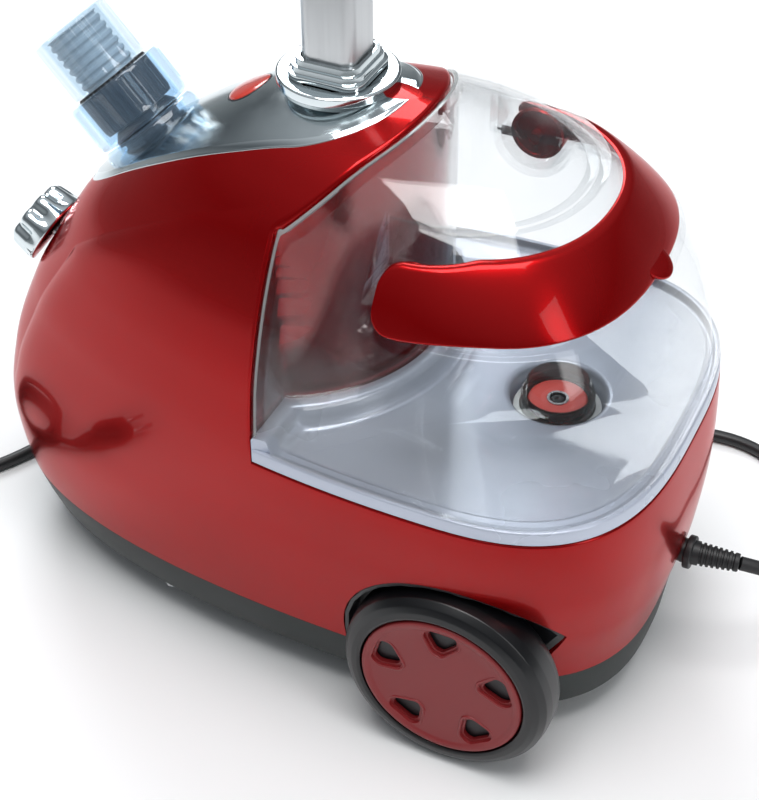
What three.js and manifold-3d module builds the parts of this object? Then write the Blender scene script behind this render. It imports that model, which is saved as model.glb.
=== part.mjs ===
// Base unit of a standing garment steamer, millimetres, +Z up.
// -X is the nose with the steam knob, +X the end with the water tank, y = 0 the plane of symmetry.
// The origin lies on the floor, under the middle of the unit.
import * as THREE from 'three';
import { mergeVertices } from 'three/addons/utils/BufferGeometryUtils.js';
import Module from 'manifold-3d';

const wasm = await Module();
wasm.setup();

// ---- driving dimensions ------------------------------------------------------------------------

const GAP = 0.3;               // between pieces that touch
const WALL = 3;                // of the moulded shells

// Cross-sections of the outer skin: superellipses, squarer at the tail than at the nose.
const STATIONS = [
  { z: 18, nose: -170, tail: 174, half: 84, widest: 61, noseN: 2.4, tailN: 2.7 },
  { z: 43, nose: -181, tail: 177, half: 89, widest: 63, noseN: 2.4, tailN: 2.7 },
  { z: 80, nose: -186, tail: 184, half: 96, widest: 71, noseN: 2.3, tailN: 2.8 },
  { z: 110, nose: -181, tail: 186, half: 101, widest: 78, noseN: 2.15, tailN: 2.9 },
  { z: 153, nose: -164, tail: 183, half: 106, widest: 86, noseN: 2, tailN: 3 },
  { z: 185, nose: -144, tail: 177, half: 104, widest: 86, noseN: 2, tailN: 2.9 },
  { z: 210, nose: -127, tail: 171, half: 98, widest: 83, noseN: 2, tailN: 2.7 },
  { z: 235, nose: -101, tail: 160, half: 88, widest: 76, noseN: 2, tailN: 2.5 },
  { z: 255, nose: -76, tail: 145, half: 75.5, widest: 66, noseN: 2, tailN: 2.3 },
  { z: 270, nose: -52, tail: 127, half: 61.5, widest: 56, noseN: 2, tailN: 2.2 },
  { z: 282, nose: -28, tail: 104, half: 45, widest: 46, noseN: 2, tailN: 2.1 },
  { z: 290, nose: -4, tail: 76, half: 22, widest: 36, noseN: 2, tailN: 2 },
  { z: 293, nose: 18, tail: 46, half: 7, widest: 32, noseN: 2, tailN: 2 },
];
const SKIN_LEVELS = [18, 43, 84, 120, 153, 180, 203, 222, 238, 252, 264, 274, 283, 293];
const SKIN_POINTS = 30;        // round each cross-section
const INSIDE_LEVELS = [43, 100, 153, 200, 235, 260, 278, 293];
const INSIDE_POINTS = 20;
const TOP_Z = 293;

const PAN_Z = 18;              // underside of the base pan
const STRIP_Z = 43;            // top of the dark base strip
const DECK_Z = 150;            // deck that the tray lies on
const RIM_Z = 157.6;           // top of the tray's rim
const TRAY_FLOOR = 3;
const RIM_WIDTH = 2.8;
const LEDGE_Z = 164;           // ledge of the tray along the housing wall
const LEDGE_DEPTH = 10;

const WHEEL_X = 106;
const WHEEL_R = 52;
const WHEEL_FACE = 108;        // |y| of the wheel's outer face
const WHEEL_BACK = 84;         // |y| of its inner face
const HUBCAP_R = 40.4;
const WINDOW_COUNT = 5;
const AXLE_R = 4;
const ARCH_R = 57.4;           // hole in the shells
const ARCH_WALL = 1.8;
const ARCH_BACK = 78;          // |y| of the arch's inner end

const CASTER_X = -114;
const CASTER_Y = 37;
const CASTER_R = 12.5;
const CASTER_TRAIL = 6.5;
const CASTER_CUP_R = 21;
const CASTER_CUP_Z = 31;       // roof of the pocket

const POLE_X = 6;
const POLE_SIDE = 26;
const POLE_CORNER = 6;
const POLE_WALL = 1.4;
const POLE_TOP = 352;
const FLANGE_R = 27.5;
const FLANGE_Z = 297.4;        // flange's top face

const LENS_X = -39;
const VALVE_X = 117;
const WELL_R = 22.5;
const WELL_Z = 127;            // floor of the well

const BAND_LOW = 235.5;        // handle band, lower edge
const BAND_HIGH = 261.5;
const PIVOT = { x: 75, z: 244.5 };
const LOBE_R = 13.5;
const LOBE_Y = 66.6;           // |y| of the lobes' inner faces
const POCKET_R = 16.8;         // pocket in the tank that the lobes turn in
const POCKET_Y = 63.8;
const POCKET_LENGTH = 29;
const POCKET_STEP = 5;         // the pocket's upper part is this much deeper
const POCKET_TOP = 276;
const RECESS_DEPTH = 3.8;

const KNOB_TILT = THREE.MathUtils.degToRad(58);   // knob axis, from vertical towards the nose
const NUT_TILT = THREE.MathUtils.degToRad(42);
const NUT_FOOT = { x: -93.4, z: 241.7 };          // where the nut's axis meets the chrome panel
const KNOB_FOOT = { x: -157.4, z: 165 };

const CORD_R = 3.5;
const CORD_Z = 3.8;            // cord's centre when it lies on the floor
const COIL = { x: -262, y: -60, inner: 31.5, outer: 45.5, height: 23 };
const PLUG = { x: -220, y: -144 };

// ---- solids ------------------------------------------------------------------------------------

function solid(geometry) {
  const bare = geometry.clone();
  bare.deleteAttribute('normal');
  bare.deleteAttribute('uv');
  const merged = mergeVertices(bare, 1e-4);
  const index = merged.index.array;
  const kept = [];
  for (let i = 0; i < index.length; i += 3) {
    const [a, b, c] = [index[i], index[i + 1], index[i + 2]];
    if (a !== b && b !== c && a !== c) kept.push(a, b, c);
  }
  const build = (triVerts) => new wasm.Manifold(new wasm.Mesh({
    numProp: 3,
    vertProperties: new Float32Array(merged.attributes.position.array),
    triVerts: new Uint32Array(triVerts),
  }));
  const body = build(kept);
  if (body.volume() > 0) return body;
  for (let i = 0; i < kept.length; i += 3) [kept[i + 1], kept[i + 2]] = [kept[i + 2], kept[i + 1]];
  return build(kept);
}

function geometryOf(body) {
  const mesh = body.getMesh();
  const geometry = new THREE.BufferGeometry();
  geometry.setAttribute('position', new THREE.BufferAttribute(new Float32Array(mesh.vertProperties), 3));
  geometry.setIndex(new THREE.BufferAttribute(new Uint32Array(mesh.triVerts), 1));
  geometry.computeVertexNormals();
  return geometry;
}

const union = (...bodies) => bodies.reduce((a, b) => a.add(b));

// A cylinder from one point to another.
function rod(radius, from, to, segments = 24, endRadius = radius) {
  const a = new THREE.Vector3(...from);
  const b = new THREE.Vector3(...to);
  const axis = b.clone().sub(a);
  const geometry = new THREE.CylinderGeometry(endRadius, radius, axis.length(), segments);
  const turn = new THREE.Quaternion().setFromUnitVectors(new THREE.Vector3(0, 1, 0), axis.normalize());
  geometry.applyQuaternion(turn);
  geometry.translate(...a.add(b).multiplyScalar(0.5));
  return solid(geometry);
}

function box(low, high) {
  const size = high.map((value, i) => value - low[i]);
  const geometry = new THREE.BoxGeometry(...size);
  geometry.translate(...low.map((value, i) => value + size[i] / 2));
  return solid(geometry);
}

// A profile of [radius, height] turned about +Z.
function turned(profile, segments = 32) {
  const geometry = new THREE.LatheGeometry(profile.map(([r, h]) => new THREE.Vector2(r, h)), segments);
  geometry.rotateX(Math.PI / 2);
  return solid(geometry);
}

function ringProfile(outer, inner, low, high) {
  return [[inner, low], [outer, low], [outer, high], [inner, high], [inner, low]];
}

function prism(points, low, high) {
  const shape = new THREE.Shape(points.map(([x, y]) => new THREE.Vector2(x, y)));
  const geometry = new THREE.ExtrudeGeometry(shape, { depth: high - low, bevelEnabled: false });
  geometry.translate(0, 0, low);
  return solid(geometry);
}

function roundedSquare(side, corner, x, y, steps = 3) {
  const points = [];
  const half = side / 2 - corner;
  for (let quarter = 0; quarter < 4; quarter += 1) {
    const middle = Math.PI / 4 + quarter * Math.PI / 2;
    const cx = x + half * Math.sign(Math.cos(middle));
    const cy = y + half * Math.sign(Math.sin(middle));
    for (let i = 0; i <= steps; i += 1) {
      const angle = quarter * Math.PI / 2 + i * Math.PI / 2 / steps;
      points.push([cx + corner * Math.cos(angle), cy + corner * Math.sin(angle)]);
    }
  }
  return points;
}

function tubeAlong(points, radius, sides, steps) {
  const curve = new THREE.CatmullRomCurve3(points.map((p) => new THREE.Vector3(...p)), false,
    'centripetal');
  const section = new THREE.Shape();
  for (let i = 0; i < sides; i += 1) {
    const angle = 2 * Math.PI * i / sides;
    const at = [radius * Math.cos(angle), radius * Math.sin(angle)];
    if (i === 0) section.moveTo(...at);
    else section.lineTo(...at);
  }
  return solid(new THREE.ExtrudeGeometry(section, { steps, extrudePath: curve, bevelEnabled: false }));
}

// ---- outer skin --------------------------------------------------------------------------------

const STATION_KEYS = ['nose', 'tail', 'half', 'widest', 'noseN', 'tailN'];

// Slopes of a monotone cubic through the stations, so that no section overshoots.
function stationSlopes(key) {
  const gap = (i) => STATIONS[i + 1].z - STATIONS[i].z;
  const rise = (i) => (STATIONS[i + 1][key] - STATIONS[i][key]) / gap(i);
  return STATIONS.map((_, i) => {
    if (i === 0) return rise(0);
    if (i === STATIONS.length - 1) return rise(i - 1);
    if (rise(i - 1) * rise(i) <= 0) return 0;
    const before = 2 * gap(i) + gap(i - 1);
    const after = gap(i) + 2 * gap(i - 1);
    return (before + after) / (before / rise(i - 1) + after / rise(i));
  });
}
const SLOPES = Object.fromEntries(STATION_KEYS.map((key) => [key, stationSlopes(key)]));

function section(z) {
  const last = STATIONS.length - 2;
  let i = STATIONS.findIndex((station, k) => k <= last && z <= STATIONS[k + 1].z);
  if (i < 0) i = last;
  const span = STATIONS[i + 1].z - STATIONS[i].z;
  const t = (z - STATIONS[i].z) / span;
  const out = {};
  for (const key of STATION_KEYS) {
    const [p, q] = [STATIONS[i][key], STATIONS[i + 1][key]];
    const [m, n] = [SLOPES[key][i] * span, SLOPES[key][i + 1] * span];
    out[key] = (2 * t ** 3 - 3 * t ** 2 + 1) * p + (t ** 3 - 2 * t ** 2 + t) * m
      + (3 * t ** 2 - 2 * t ** 3) * q + (t ** 3 - t ** 2) * n;
  }
  return out;
}

// One cross-section, moved in by inset along the skin's mean normal.
function skinRing(z, inset, count) {
  const here = section(z);
  const slope = (section(Math.min(z + 0.5, TOP_Z)).half - section(z - 0.5).half)
    / (Math.min(z + 0.5, TOP_Z) - z + 0.5);
  const across = inset / Math.hypot(1, slope);
  const down = -slope * across;
  const ring = [];
  for (let i = 0; i < count; i += 1) {
    const angle = 2 * Math.PI * i / count;
    const [c, s] = [Math.cos(angle), Math.sin(angle)];
    const power = c < 0 ? here.noseN : here.tailN;
    const reach = c < 0 ? here.widest - here.nose : here.tail - here.widest;
    const k = (Math.abs(c) ** power + Math.abs(s) ** power) ** (-1 / power);
    ring.push([here.widest + Math.max(reach - across, 0.5) * c * k,
      Math.max(here.half - across, 0.5) * s * k, z - down]);
  }
  return ring;
}

function loft(rings) {
  const count = rings[0].length;
  const centre = (ring) => ring.reduce((sum, p) => sum.map((v, i) => v + p[i] / count), [0, 0, 0]);
  const points = rings.flat();
  points.push(centre(rings[0]), centre(rings[rings.length - 1]));
  const [bottom, top] = [points.length - 2, points.length - 1];
  const index = [];
  for (let i = 0; i < count; i += 1) {
    const j = (i + 1) % count;
    index.push(bottom, j, i, top, (rings.length - 1) * count + i, (rings.length - 1) * count + j);
    for (let r = 0; r < rings.length - 1; r += 1) {
      const [a, b, c, d] = [r * count + i, r * count + j, (r + 1) * count + j, (r + 1) * count + i];
      index.push(a, b, c, a, c, d);
    }
  }
  const geometry = new THREE.BufferGeometry();
  geometry.setAttribute('position', new THREE.Float32BufferAttribute(points.flat(), 3));
  geometry.setIndex(index);
  return solid(geometry);
}

// The lowest ring stays at its own height.
function standing(rings, low) {
  return rings.map((ring, i) => (i === 0 ? ring.map(([x, y]) => [x, y, low]) : ring));
}

// The solid inside the skin between two heights.
function skin(inset, low = PAN_Z, high = TOP_Z) {
  const levels = [low, ...SKIN_LEVELS.filter((z) => z > low + 1 && z < high - 1), high];
  return loft(standing(levels.map((z) => skinRing(z, inset, SKIN_POINTS)), low));
}

// The same, plainer, for the inside of a shell.
function inside(depth, low, high = TOP_Z, extra = []) {
  const between = [...INSIDE_LEVELS, ...extra].filter((z) => z > low + 1 && z < high - 1);
  const levels = [low, ...between.sort((a, b) => a - b), high];
  return loft(standing(levels.map((z) => skinRing(z, depth(z), INSIDE_POINTS)), low));
}

function skinHalf(x, z) {
  const here = section(z);
  const [reach, power] = x < here.widest
    ? [here.widest - here.nose, here.noseN] : [here.tail - here.widest, here.tailN];
  const u = Math.abs(x - here.widest) / reach;
  return u < 1 ? here.half * (1 - u ** power) ** (1 / power) : 0;
}

function skinZ(x, y) {
  let [low, high] = [110, TOP_Z];
  for (let i = 0; i < 30; i += 1) {
    const middle = (low + high) / 2;
    if (Math.abs(y) < skinHalf(x, middle)) low = middle;
    else high = middle;
  }
  return low;
}

// Plan curve of the wall between housing and tank, bulging back round the pole; offset towards the tank.
function wallCurve(offset) {
  const WALL_X = 9;
  const BULGE = 44;
  const BULGE_HALF = 68;
  const at = (y) => WALL_X + BULGE * Math.max(0, 1 - (y / BULGE_HALF) ** 2) ** 0.75;
  const side = [0, 18, 33, 44, 53, 60, 65, 70, 78, 130];
  const ys = [...side.slice(1).reverse().map((y) => -y), ...side];
  const moved = ys.map((y) => {
    const slope = (at(y + 1) - at(y - 1)) / 2;
    const scale = offset / Math.hypot(1, slope);
    return [at(y) + scale, y - slope * scale];
  });
  // Where the offset folds over itself at the foot of the bulge, only the outer points stay.
  return moved.filter(([x, y], i) => moved.every(([otherX, otherY], k) => (
    k <= i || otherY > y + 0.2 || otherX > x) && (k >= i || otherY < y - 0.2 || otherX > x) || k === i));
}

// Everything on the tank's side of the wall, above low.
function tankSide(offset, low, high = 330) {
  const FAR = 230;
  const curve = wallCurve(offset);
  return prism([...curve, [FAR, 130], [FAR, -130]], low, high);
}

const mirrored = (body) => body.mirror([0, 1, 0]);

// ---- shells ------------------------------------------------------------------------------------

function arches(radius, back, low = 0) {
  const near = rod(radius, [WHEEL_X, -130, WHEEL_R], [WHEEL_X, -back, WHEEL_R], 28);
  const under = box([WHEEL_X - radius, -130, low - 1], [WHEEL_X + radius, -back, WHEEL_R]);
  const arch = near.add(under);
  return arch.add(mirrored(arch));
}

const SCREWS = [[-62, 70], [-62, -70], [163, 34], [163, -34]];

// A post for a base screw, with a rib that joins it to the shell.
function screwPost([x, y]) {
  const low = STRIP_Z + GAP;
  const [outX, outY] = x > 0 ? [16, 0] : [0, 16 * Math.sign(y)];
  const rib = box([Math.min(x, x + outX) - 1.5, Math.min(y, y + outY) - 1.5, low],
    [Math.max(x, x + outX) + 1.5, Math.max(y, y + outY) + 1.5, 60]);
  return rod(4.6, [x, y, low], [x, y, 62], 8).add(rib).subtract(rod(1.8, [x, y, low - 1], [x, y, 60], 8));
}

function bodyShell() {
  const bottom = STRIP_Z + GAP;
  const outer = skin(0, bottom).subtract(tankSide(0, DECK_Z));
  const inner = inside(() => WALL, bottom - 2).subtract(tankSide(-WALL, DECK_Z - WALL));
  const posts = SCREWS.map((at) => screwPost(at).intersect(skin(1.5, bottom)));
  return union(outer.subtract(inner), ...posts)
    .subtract(arches(ARCH_R, ARCH_BACK))
    .subtract(panelRegion(GAP).intersect(skin(-5, 160)).subtract(skin(1.2, 150)))
    .subtract(prism(roundedSquare(POLE_SIDE + 6, 8, POLE_X, 0), 270, 300))
    .subtract(nutRod(16, -30, 20))
    .subtract(knobRod(4.8, -12, 6))
    .subtract(rod(5, [LENS_X, 0, 250], [LENS_X, 0, 300], 16))
    .subtract(rod(WELL_R + 3.4, [VALVE_X, 0, DECK_Z - 10], [VALVE_X, 0, DECK_Z + 1], 28))
    .subtract(rod(6.4, [160, GLAND_Y, GLAND_Z], [200, GLAND_Y, GLAND_Z], 16));
}

function basePan() {
  const cups = [CASTER_Y, -CASTER_Y].map((y) => rod(CASTER_CUP_R + 2.4, [CASTER_X, y, PAN_Z],
    [CASTER_X, y, CASTER_CUP_Z + 2.4], 24));
  const pockets = [CASTER_Y, -CASTER_Y].map((y) => rod(CASTER_CUP_R, [CASTER_X, y, PAN_Z - 1],
    [CASTER_X, y, CASTER_CUP_Z], 24).add(rod(3.4, [CASTER_X, y, PAN_Z],
      [CASTER_X, y, CASTER_CUP_Z + 5], 16)));
  const outer = skin(0, PAN_Z, STRIP_Z);
  let pan = outer.subtract(inside(() => WALL, PAN_Z + WALL, STRIP_Z + 2));
  pan = union(pan, ...cups.map((cup) => cup.intersect(outer)));
  for (const pocket of pockets) pan = pan.subtract(pocket);
  for (const [x, y] of SCREWS) pan = pan.subtract(rod(2.1, [x, y, PAN_Z - 1], [x, y, 50], 10));
  return pan.subtract(arches(ARCH_R, ARCH_BACK));
}

// Black lining of the wheel arch: a half barrel, open below, with the axle's hole in its end wall.
function archLiner() {
  const outer = arches(ARCH_R - GAP, ARCH_BACK + GAP, PAN_Z);
  const inner = arches(ARCH_R - GAP - ARCH_WALL, ARCH_BACK + GAP + ARCH_WALL, PAN_Z);
  const keep = skin(0.2, PAN_Z + 0.2, 140).intersect(box([0, -120, PAN_Z + 0.2], [200, 0, 140]));
  return outer.subtract(inner).intersect(keep)
    .subtract(rod(AXLE_R + 0.6, [WHEEL_X, -90, WHEEL_R], [WHEEL_X, -70, WHEEL_R], 20));
}

// ---- chrome top --------------------------------------------------------------------------------

// Plan outline of the chrome panel: a round end behind the pole, tapering to the nose.
function panelOutline(grow) {
  const BACK = { x: 1, r: 41.5 };
  const side = [[-22, 41.4], [-44, 39.6], [-68, 35.5], [-94, 28.5], [-112, 22], [-121, 15], [-125, 7]];
  const points = [];
  for (let i = 0; i <= 10; i += 1) {
    const angle = -Math.PI / 2 + i * Math.PI / 10;
    points.push([BACK.x + (BACK.r + grow) * Math.cos(angle), (BACK.r + grow) * Math.sin(angle)]);
  }
  side.forEach(([x, y]) => points.push([x - (x < -115 ? grow : 0), y + grow]));
  points.push([-126 - grow, 0]);
  [...side].reverse().forEach(([x, y]) => points.push([x - (x < -115 ? grow : 0), -y - grow]));
  return points;
}

function panelRegion(grow) {
  return prism(panelOutline(grow), 160, 320);
}

function chromePanel() {
  return skin(-1.6, 160).subtract(skin(0.9, 150)).intersect(panelRegion(0))
    .subtract(prism(roundedSquare(POLE_SIDE + 7, 8, POLE_X, 0), 270, 300))
    .subtract(nutRod(16.2, -30, 20))
    .subtract(lensRegion(GAP));
}

function lensRegion(grow) {
  const points = [];
  for (let i = 0; i < 20; i += 1) {
    const angle = 2 * Math.PI * i / 20;
    points.push([LENS_X + (9 + grow) * Math.cos(angle), (12 + grow) * Math.sin(angle)]);
  }
  return prism(points, 240, 300);
}

function indicatorLens() {
  return skin(-2.2, 160).subtract(skin(0.8, 150)).intersect(lensRegion(0));
}

function indicatorLamp() {
  const top = skinZ(LENS_X, 0) - 3.6;
  return rod(3, [LENS_X, 0, top - 16], [LENS_X, 0, top], 16)
    .add(rod(4.4, [LENS_X, 0, top - 16], [LENS_X, 0, top - 11], 16));
}

function poleFlange() {
  const low = 276;
  const profile = [[0, low], [FLANGE_R - 1.5, low], [FLANGE_R - 1.5, FLANGE_Z - 5],
    [FLANGE_R, FLANGE_Z - 5],
    [FLANGE_R, FLANGE_Z - 1], [FLANGE_R - 1, FLANGE_Z], [0, FLANGE_Z]];
  const disc = turned(profile, 24).translate([POLE_X, 0, 0]);
  return disc.subtract(skin(-1.95, 160)).subtract(prism(roundedSquare(POLE_SIDE + 0.8, 6.3, POLE_X, 0),
    270, 310));
}

function poleCollar() {
  const low = FLANGE_Z + GAP;
  const steps = [[POLE_SIDE + 11, low, low + 2.6], [POLE_SIDE + 7.6, low, low + 5.4],
    [POLE_SIDE + 4.6, low, low + 8.6]];
  return union(...steps.map(([side, from, to]) => prism(roundedSquare(side, 8, POLE_X, 0), from, to)))
    .subtract(prism(roundedSquare(POLE_SIDE + 0.8, 6.3, POLE_X, 0), low - 1, low + 20));
}

function poleTube() {
  return prism(roundedSquare(POLE_SIDE, POLE_CORNER, POLE_X, 0), 212, POLE_TOP)
    .subtract(prism(roundedSquare(POLE_SIDE - 2 * POLE_WALL, POLE_CORNER - POLE_WALL, POLE_X, 0), 200,
      360));
}

function poleSocket() {
  return prism(roundedSquare(POLE_SIDE + 5.4, 7.6, POLE_X, 0), 205, 283)
    .subtract(prism(roundedSquare(POLE_SIDE + 0.8, 6.3, POLE_X, 0), 211.6, 300));
}

// ---- pieces on tilted axes ---------------------------------------------------------------------

// A point at height s along an axis that leans towards the nose.
const along = (foot, tilt, s) => [foot.x - s * Math.sin(tilt), 0, foot.z + s * Math.cos(tilt)];
const nutRod = (radius, from, to, segments = 32) => rod(radius, along(NUT_FOOT, NUT_TILT, from),
  along(NUT_FOOT, NUT_TILT, to), segments);
const knobRod = (radius, from, to, segments = 24) => rod(radius, along(KNOB_FOOT, KNOB_TILT, from),
  along(KNOB_FOOT, KNOB_TILT, to), segments);

function leaning(body, foot, tilt) {
  return body.rotate([0, -THREE.MathUtils.radToDeg(tilt), 0]).translate([foot.x, 0, foot.z]);
}
const onNut = (body) => leaning(body, NUT_FOOT, NUT_TILT);
const onKnob = (body) => leaning(body, KNOB_FOOT, KNOB_TILT);

// Grooves round a turned piece.
function fluted(body, count, radius, distance, low, high) {
  let out = body;
  for (let i = 0; i < count; i += 1) {
    const angle = 2 * Math.PI * i / count;
    const [x, y] = [distance * Math.cos(angle), distance * Math.sin(angle)];
    out = out.subtract(rod(radius, [x, y, low], [x, y, high], 6));
  }
  return out;
}

function hoseSeat() {
  const ring = onNut(turned([[19, -16], [26.5, -16], [26.5, 0], [24.5, 4.4], [19, 4.4], [19, -16]], 28));
  return ring.subtract(skin(-1.95, 160));
}

function outletSpigot() {
  return onNut(turned([[8, -16], [15.4, -16], [15.4, 2], [17.6, 2], [17.6, 5], [14.6, 8.9], [8, 8.9],
    [8, -16]], 24));
}

function hoseNut() {
  const body = turned([[21.3, 5], [25.2, 5], [26, 8], [26, 29], [25, 30], [21.3, 30], [21.3, 5]], 30);
  return onNut(fluted(body, 10, 2.6, 27.4, 11, 31));
}

function nutInsert() {
  return onNut(turned([[14.6, 9.5], [18.6, 9.5], [19.4, 12], [19.4, 31], [14.6, 31], [14.6, 9.5]], 24));
}

function hoseSleeve() {
  const body = turned([[16.4, 31.4], [20.7, 31.4], [20.7, 61.6], [16.4, 61.6], [16.4, 31.4]], 28);
  return onNut(body);
}

function hoseTail() {
  return onNut(turned(ringProfile(14.2, 9, 9.6, 60), 28));
}

function steamKnob() {
  const body = turned([[0, 0.7], [19.4, 0.7], [20, 2], [18.8, 14.4], [17, 16.4], [0, 16.4]], 27);
  const bored = body.subtract(turned([[0, -1], [3.9, -1], [3.9, 9], [0, 9]], 16));
  return onKnob(fluted(bored, 9, 5.4, 22.6, 4.5, 17));
}

function knobShaft() {
  return onKnob(turned([[0, -14], [3.4, -14], [3.4, 8.6], [0, 8.6]], 16));
}

function rotarySwitch() {
  const body = box([-12, -12, -26], [12, 12, -9]).add(turned([[0, -10], [5.6, -10], [5.6, -6],
    [0, -6]], 16));
  return onKnob(body.subtract(turned([[0, -15], [3.8, -15], [3.8, 2], [0, 2]], 16)));
}

// ---- tray and tank -----------------------------------------------------------------------------

const ledgeRegion = (grow, low, high) => tankSide(GAP, low, high)
  .subtract(tankSide(LEDGE_DEPTH + grow, low - 1, high + 1));

function tankTray() {
  const low = DECK_Z + GAP;
  const floor = low + TRAY_FLOOR;
  const plate = skin(0, low, RIM_Z).subtract(skin(RIM_WIDTH, floor, RIM_Z + 3))
    .intersect(tankSide(0.6, 100));
  const ledge = ledgeRegion(0, low, LEDGE_Z).intersect(skin(RIM_WIDTH + 0.6, low,
    LEDGE_Z + 2)).intersect(tankSide(0.6, 100));
  const well = rod(WELL_R + 2.6, [VALVE_X, 0, WELL_Z - 2.6], [VALVE_X, 0, low + 1], 28);
  const hole = rod(WELL_R, [VALVE_X, 0, WELL_Z], [VALVE_X, 0, floor + 1], 28);
  const drain = rod(4.2, [VALVE_X - 14, 0, WELL_Z - 14], [VALVE_X - 14, 0, WELL_Z + 1], 16);
  const nipple = rod(5.6, [VALVE_X - 14, 0, WELL_Z - 12], [VALVE_X - 14, 0, WELL_Z - 1], 16);
  const pin = rod(2, [VALVE_X, 0, WELL_Z - 0.5], [VALVE_X, 0, WELL_Z + 5.5], 12);
  return union(plate, ledge, well, nipple).subtract(hole).subtract(drain).add(pin);
}

// Cylinders round the handle's pivot axis, outside |y| = from.
function pivotDrum(radius, from, to = 120) {
  const near = rod(radius, [PIVOT.x, -to, PIVOT.z], [PIVOT.x, -from, PIVOT.z], 20);
  return near.add(mirrored(near));
}

function pocket(grow) {
  const front = PIVOT.x - POCKET_R - grow;
  const upper = box([front, -120, PIVOT.z + 3], [front + POCKET_LENGTH + 2 * grow,
    POCKET_STEP + grow - POCKET_Y, POCKET_TOP]);
  return pivotDrum(POCKET_R + grow, POCKET_Y - grow).add(upper).add(mirrored(upper));
}

function handleRecess() {
  const slab = box([PIVOT.x - POCKET_R, -120, BAND_LOW - 3.5], [200, 120, BAND_HIGH + 6.5]);
  return skin(-3, 180).subtract(skin(RECESS_DEPTH, 170)).intersect(slab).add(pocket(0));
}

function waterTank() {
  const seat = DECK_Z + GAP + TRAY_FLOOR + 0.5;
  const dome = skin(0, RIM_Z + 0.6).add(skin(RIM_WIDTH + 0.6, seat, RIM_Z + 1));
  const outer = dome.intersect(tankSide(0.9, 100)).subtract(ledgeRegion(0.6, 100, LEDGE_Z + 0.6));
  const steps = [BAND_LOW - 9, BAND_LOW - 6, BAND_HIGH + 8, BAND_HIGH + 11];
  const depth = (z) => (z > steps[0] + 1 && z < steps[3] - 1 ? RECESS_DEPTH + 2.8 : WALL);
  const cavity = inside(depth, RIM_Z + 1, 289, steps)
    .add(inside(() => RIM_WIDTH + WALL, seat + WALL, RIM_Z + 2))
    .intersect(tankSide(0.9 + WALL, 100))
    .subtract(ledgeRegion(0.6 + WALL, 100, LEDGE_Z + 0.6 + WALL))
    .subtract(pocket(2.8));
  const neck = rod(17.4, [VALVE_X, 0, 142], [VALVE_X, 0, seat + 1], 28);
  const bore = rod(15, [VALVE_X, 0, 141], [VALVE_X, 0, seat + WALL + 1], 28);
  const pinHoles = pivotDrum(3.2, POCKET_Y - 1.9, POCKET_Y + 1);
  return outer.subtract(cavity).add(neck).subtract(bore).subtract(handleRecess()).subtract(pinHoles);
}

function tankHandle() {
  const slab = box([PIVOT.x, -120, BAND_LOW], [200, 120, BAND_HIGH]);
  const band = skin(0, 180).subtract(skin(3, 170)).intersect(slab);
  const lobes = pivotDrum(LOBE_R, LOBE_Y).intersect(skin(0, 180));
  const TAB_R = 10;
  const patch = rod(TAB_R, [130, 0, BAND_LOW + 1.5], [175, 0, BAND_LOW + 1.5], 28);
  const plate = skin(-2.6, 180).subtract(skin(-0.5, 170)).intersect(patch);
  const root = skin(-2.6, 180).subtract(skin(1, 170)).intersect(patch)
    .intersect(box([100, -30, BAND_LOW], [190, 30, BAND_LOW + 20]));
  return union(band, lobes, plate, root).subtract(pivotDrum(3.3, 55, 76));
}

function handlePin() {
  return rod(2.9, [PIVOT.x, -75.6, PIVOT.z], [PIVOT.x, -(POCKET_Y - 1.6), PIVOT.z], 20);
}

function tankCap() {
  const cup = [[5.6, 136], [20.8, 136], [20.8, 150], [17.7, 150], [17.7, 138.4], [5.6, 138.4], [5.6, 136]];
  return turned(cup, 28).translate([VALVE_X, 0, 0]);
}

function capSeal() {
  return turned(ringProfile(14.4, 4.3, 138.8, 141.4), 24).translate([VALVE_X, 0, 0]);
}

function valvePlunger() {
  return turned([[0, 134.6], [3.4, 134.6], [3.4, 146.2], [3, 146.8],
    [0, 146.8]], 20).translate([VALVE_X, 0, 0]);
}

function valveSpring() {
  return turned(ringProfile(5.2, 4, 141.8, 150), 16).translate([VALVE_X, 0, 0]);
}

// ---- wheels ------------------------------------------------------------------------------------

// A wheel is turned about its own +Z, pointing out of the machine, then laid on its side.
function wheelSide(body, side) {
  return body.rotate([side < 0 ? 90 : -90, 0, 0]).translate([WHEEL_X, 0, WHEEL_R]);
}

function windowOutline(angle, grow) {
  const corners = [[35.5, -6.5], [35, 6.5], [31, 8.5], [22.5, 4], [21, 0.5], [30, -8]];
  const [cx, cy] = [29.5, 0];
  return corners.map(([x, y]) => {
    const reach = Math.hypot(x - cx, y - cy);
    const [px, py] = [x + grow * (x - cx) / reach, y + grow * (y - cy) / reach];
    return [px * Math.cos(angle) - py * Math.sin(angle), px * Math.sin(angle) + py * Math.cos(angle)];
  });
}

function windows(grow, low, high) {
  const all = [];
  for (let i = 0; i < WINDOW_COUNT; i += 1) {
    all.push(prism(windowOutline(2 * Math.PI * (i + 0.25) / WINDOW_COUNT, grow), low, high));
  }
  return union(...all);
}

function wheelBody() {
  const tread = [[4.5, 84.6], [12, 84.6], [12, 91], [42, 91], [43, WHEEL_BACK], [49, WHEEL_BACK],
    [WHEEL_R, 89],
    [WHEEL_R, 99], [49, 106], [HUBCAP_R + 0.7, WHEEL_FACE], [HUBCAP_R + 0.7, 95], [9, 95], [9, 100],
    [4.5, 100], [4.5, 84.6]];
  return turned(tread, 28).add(windows(-0.7, 94, 105.6));
}

function hubcap() {
  const dish = [[0, 105], [36, 104.6], [36, 103], [HUBCAP_R, 103], [HUBCAP_R, 107], [38.5, 108],
    [0, 107.9]];
  return turned(dish, 28).subtract(windows(0, 95, 115));
}

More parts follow.
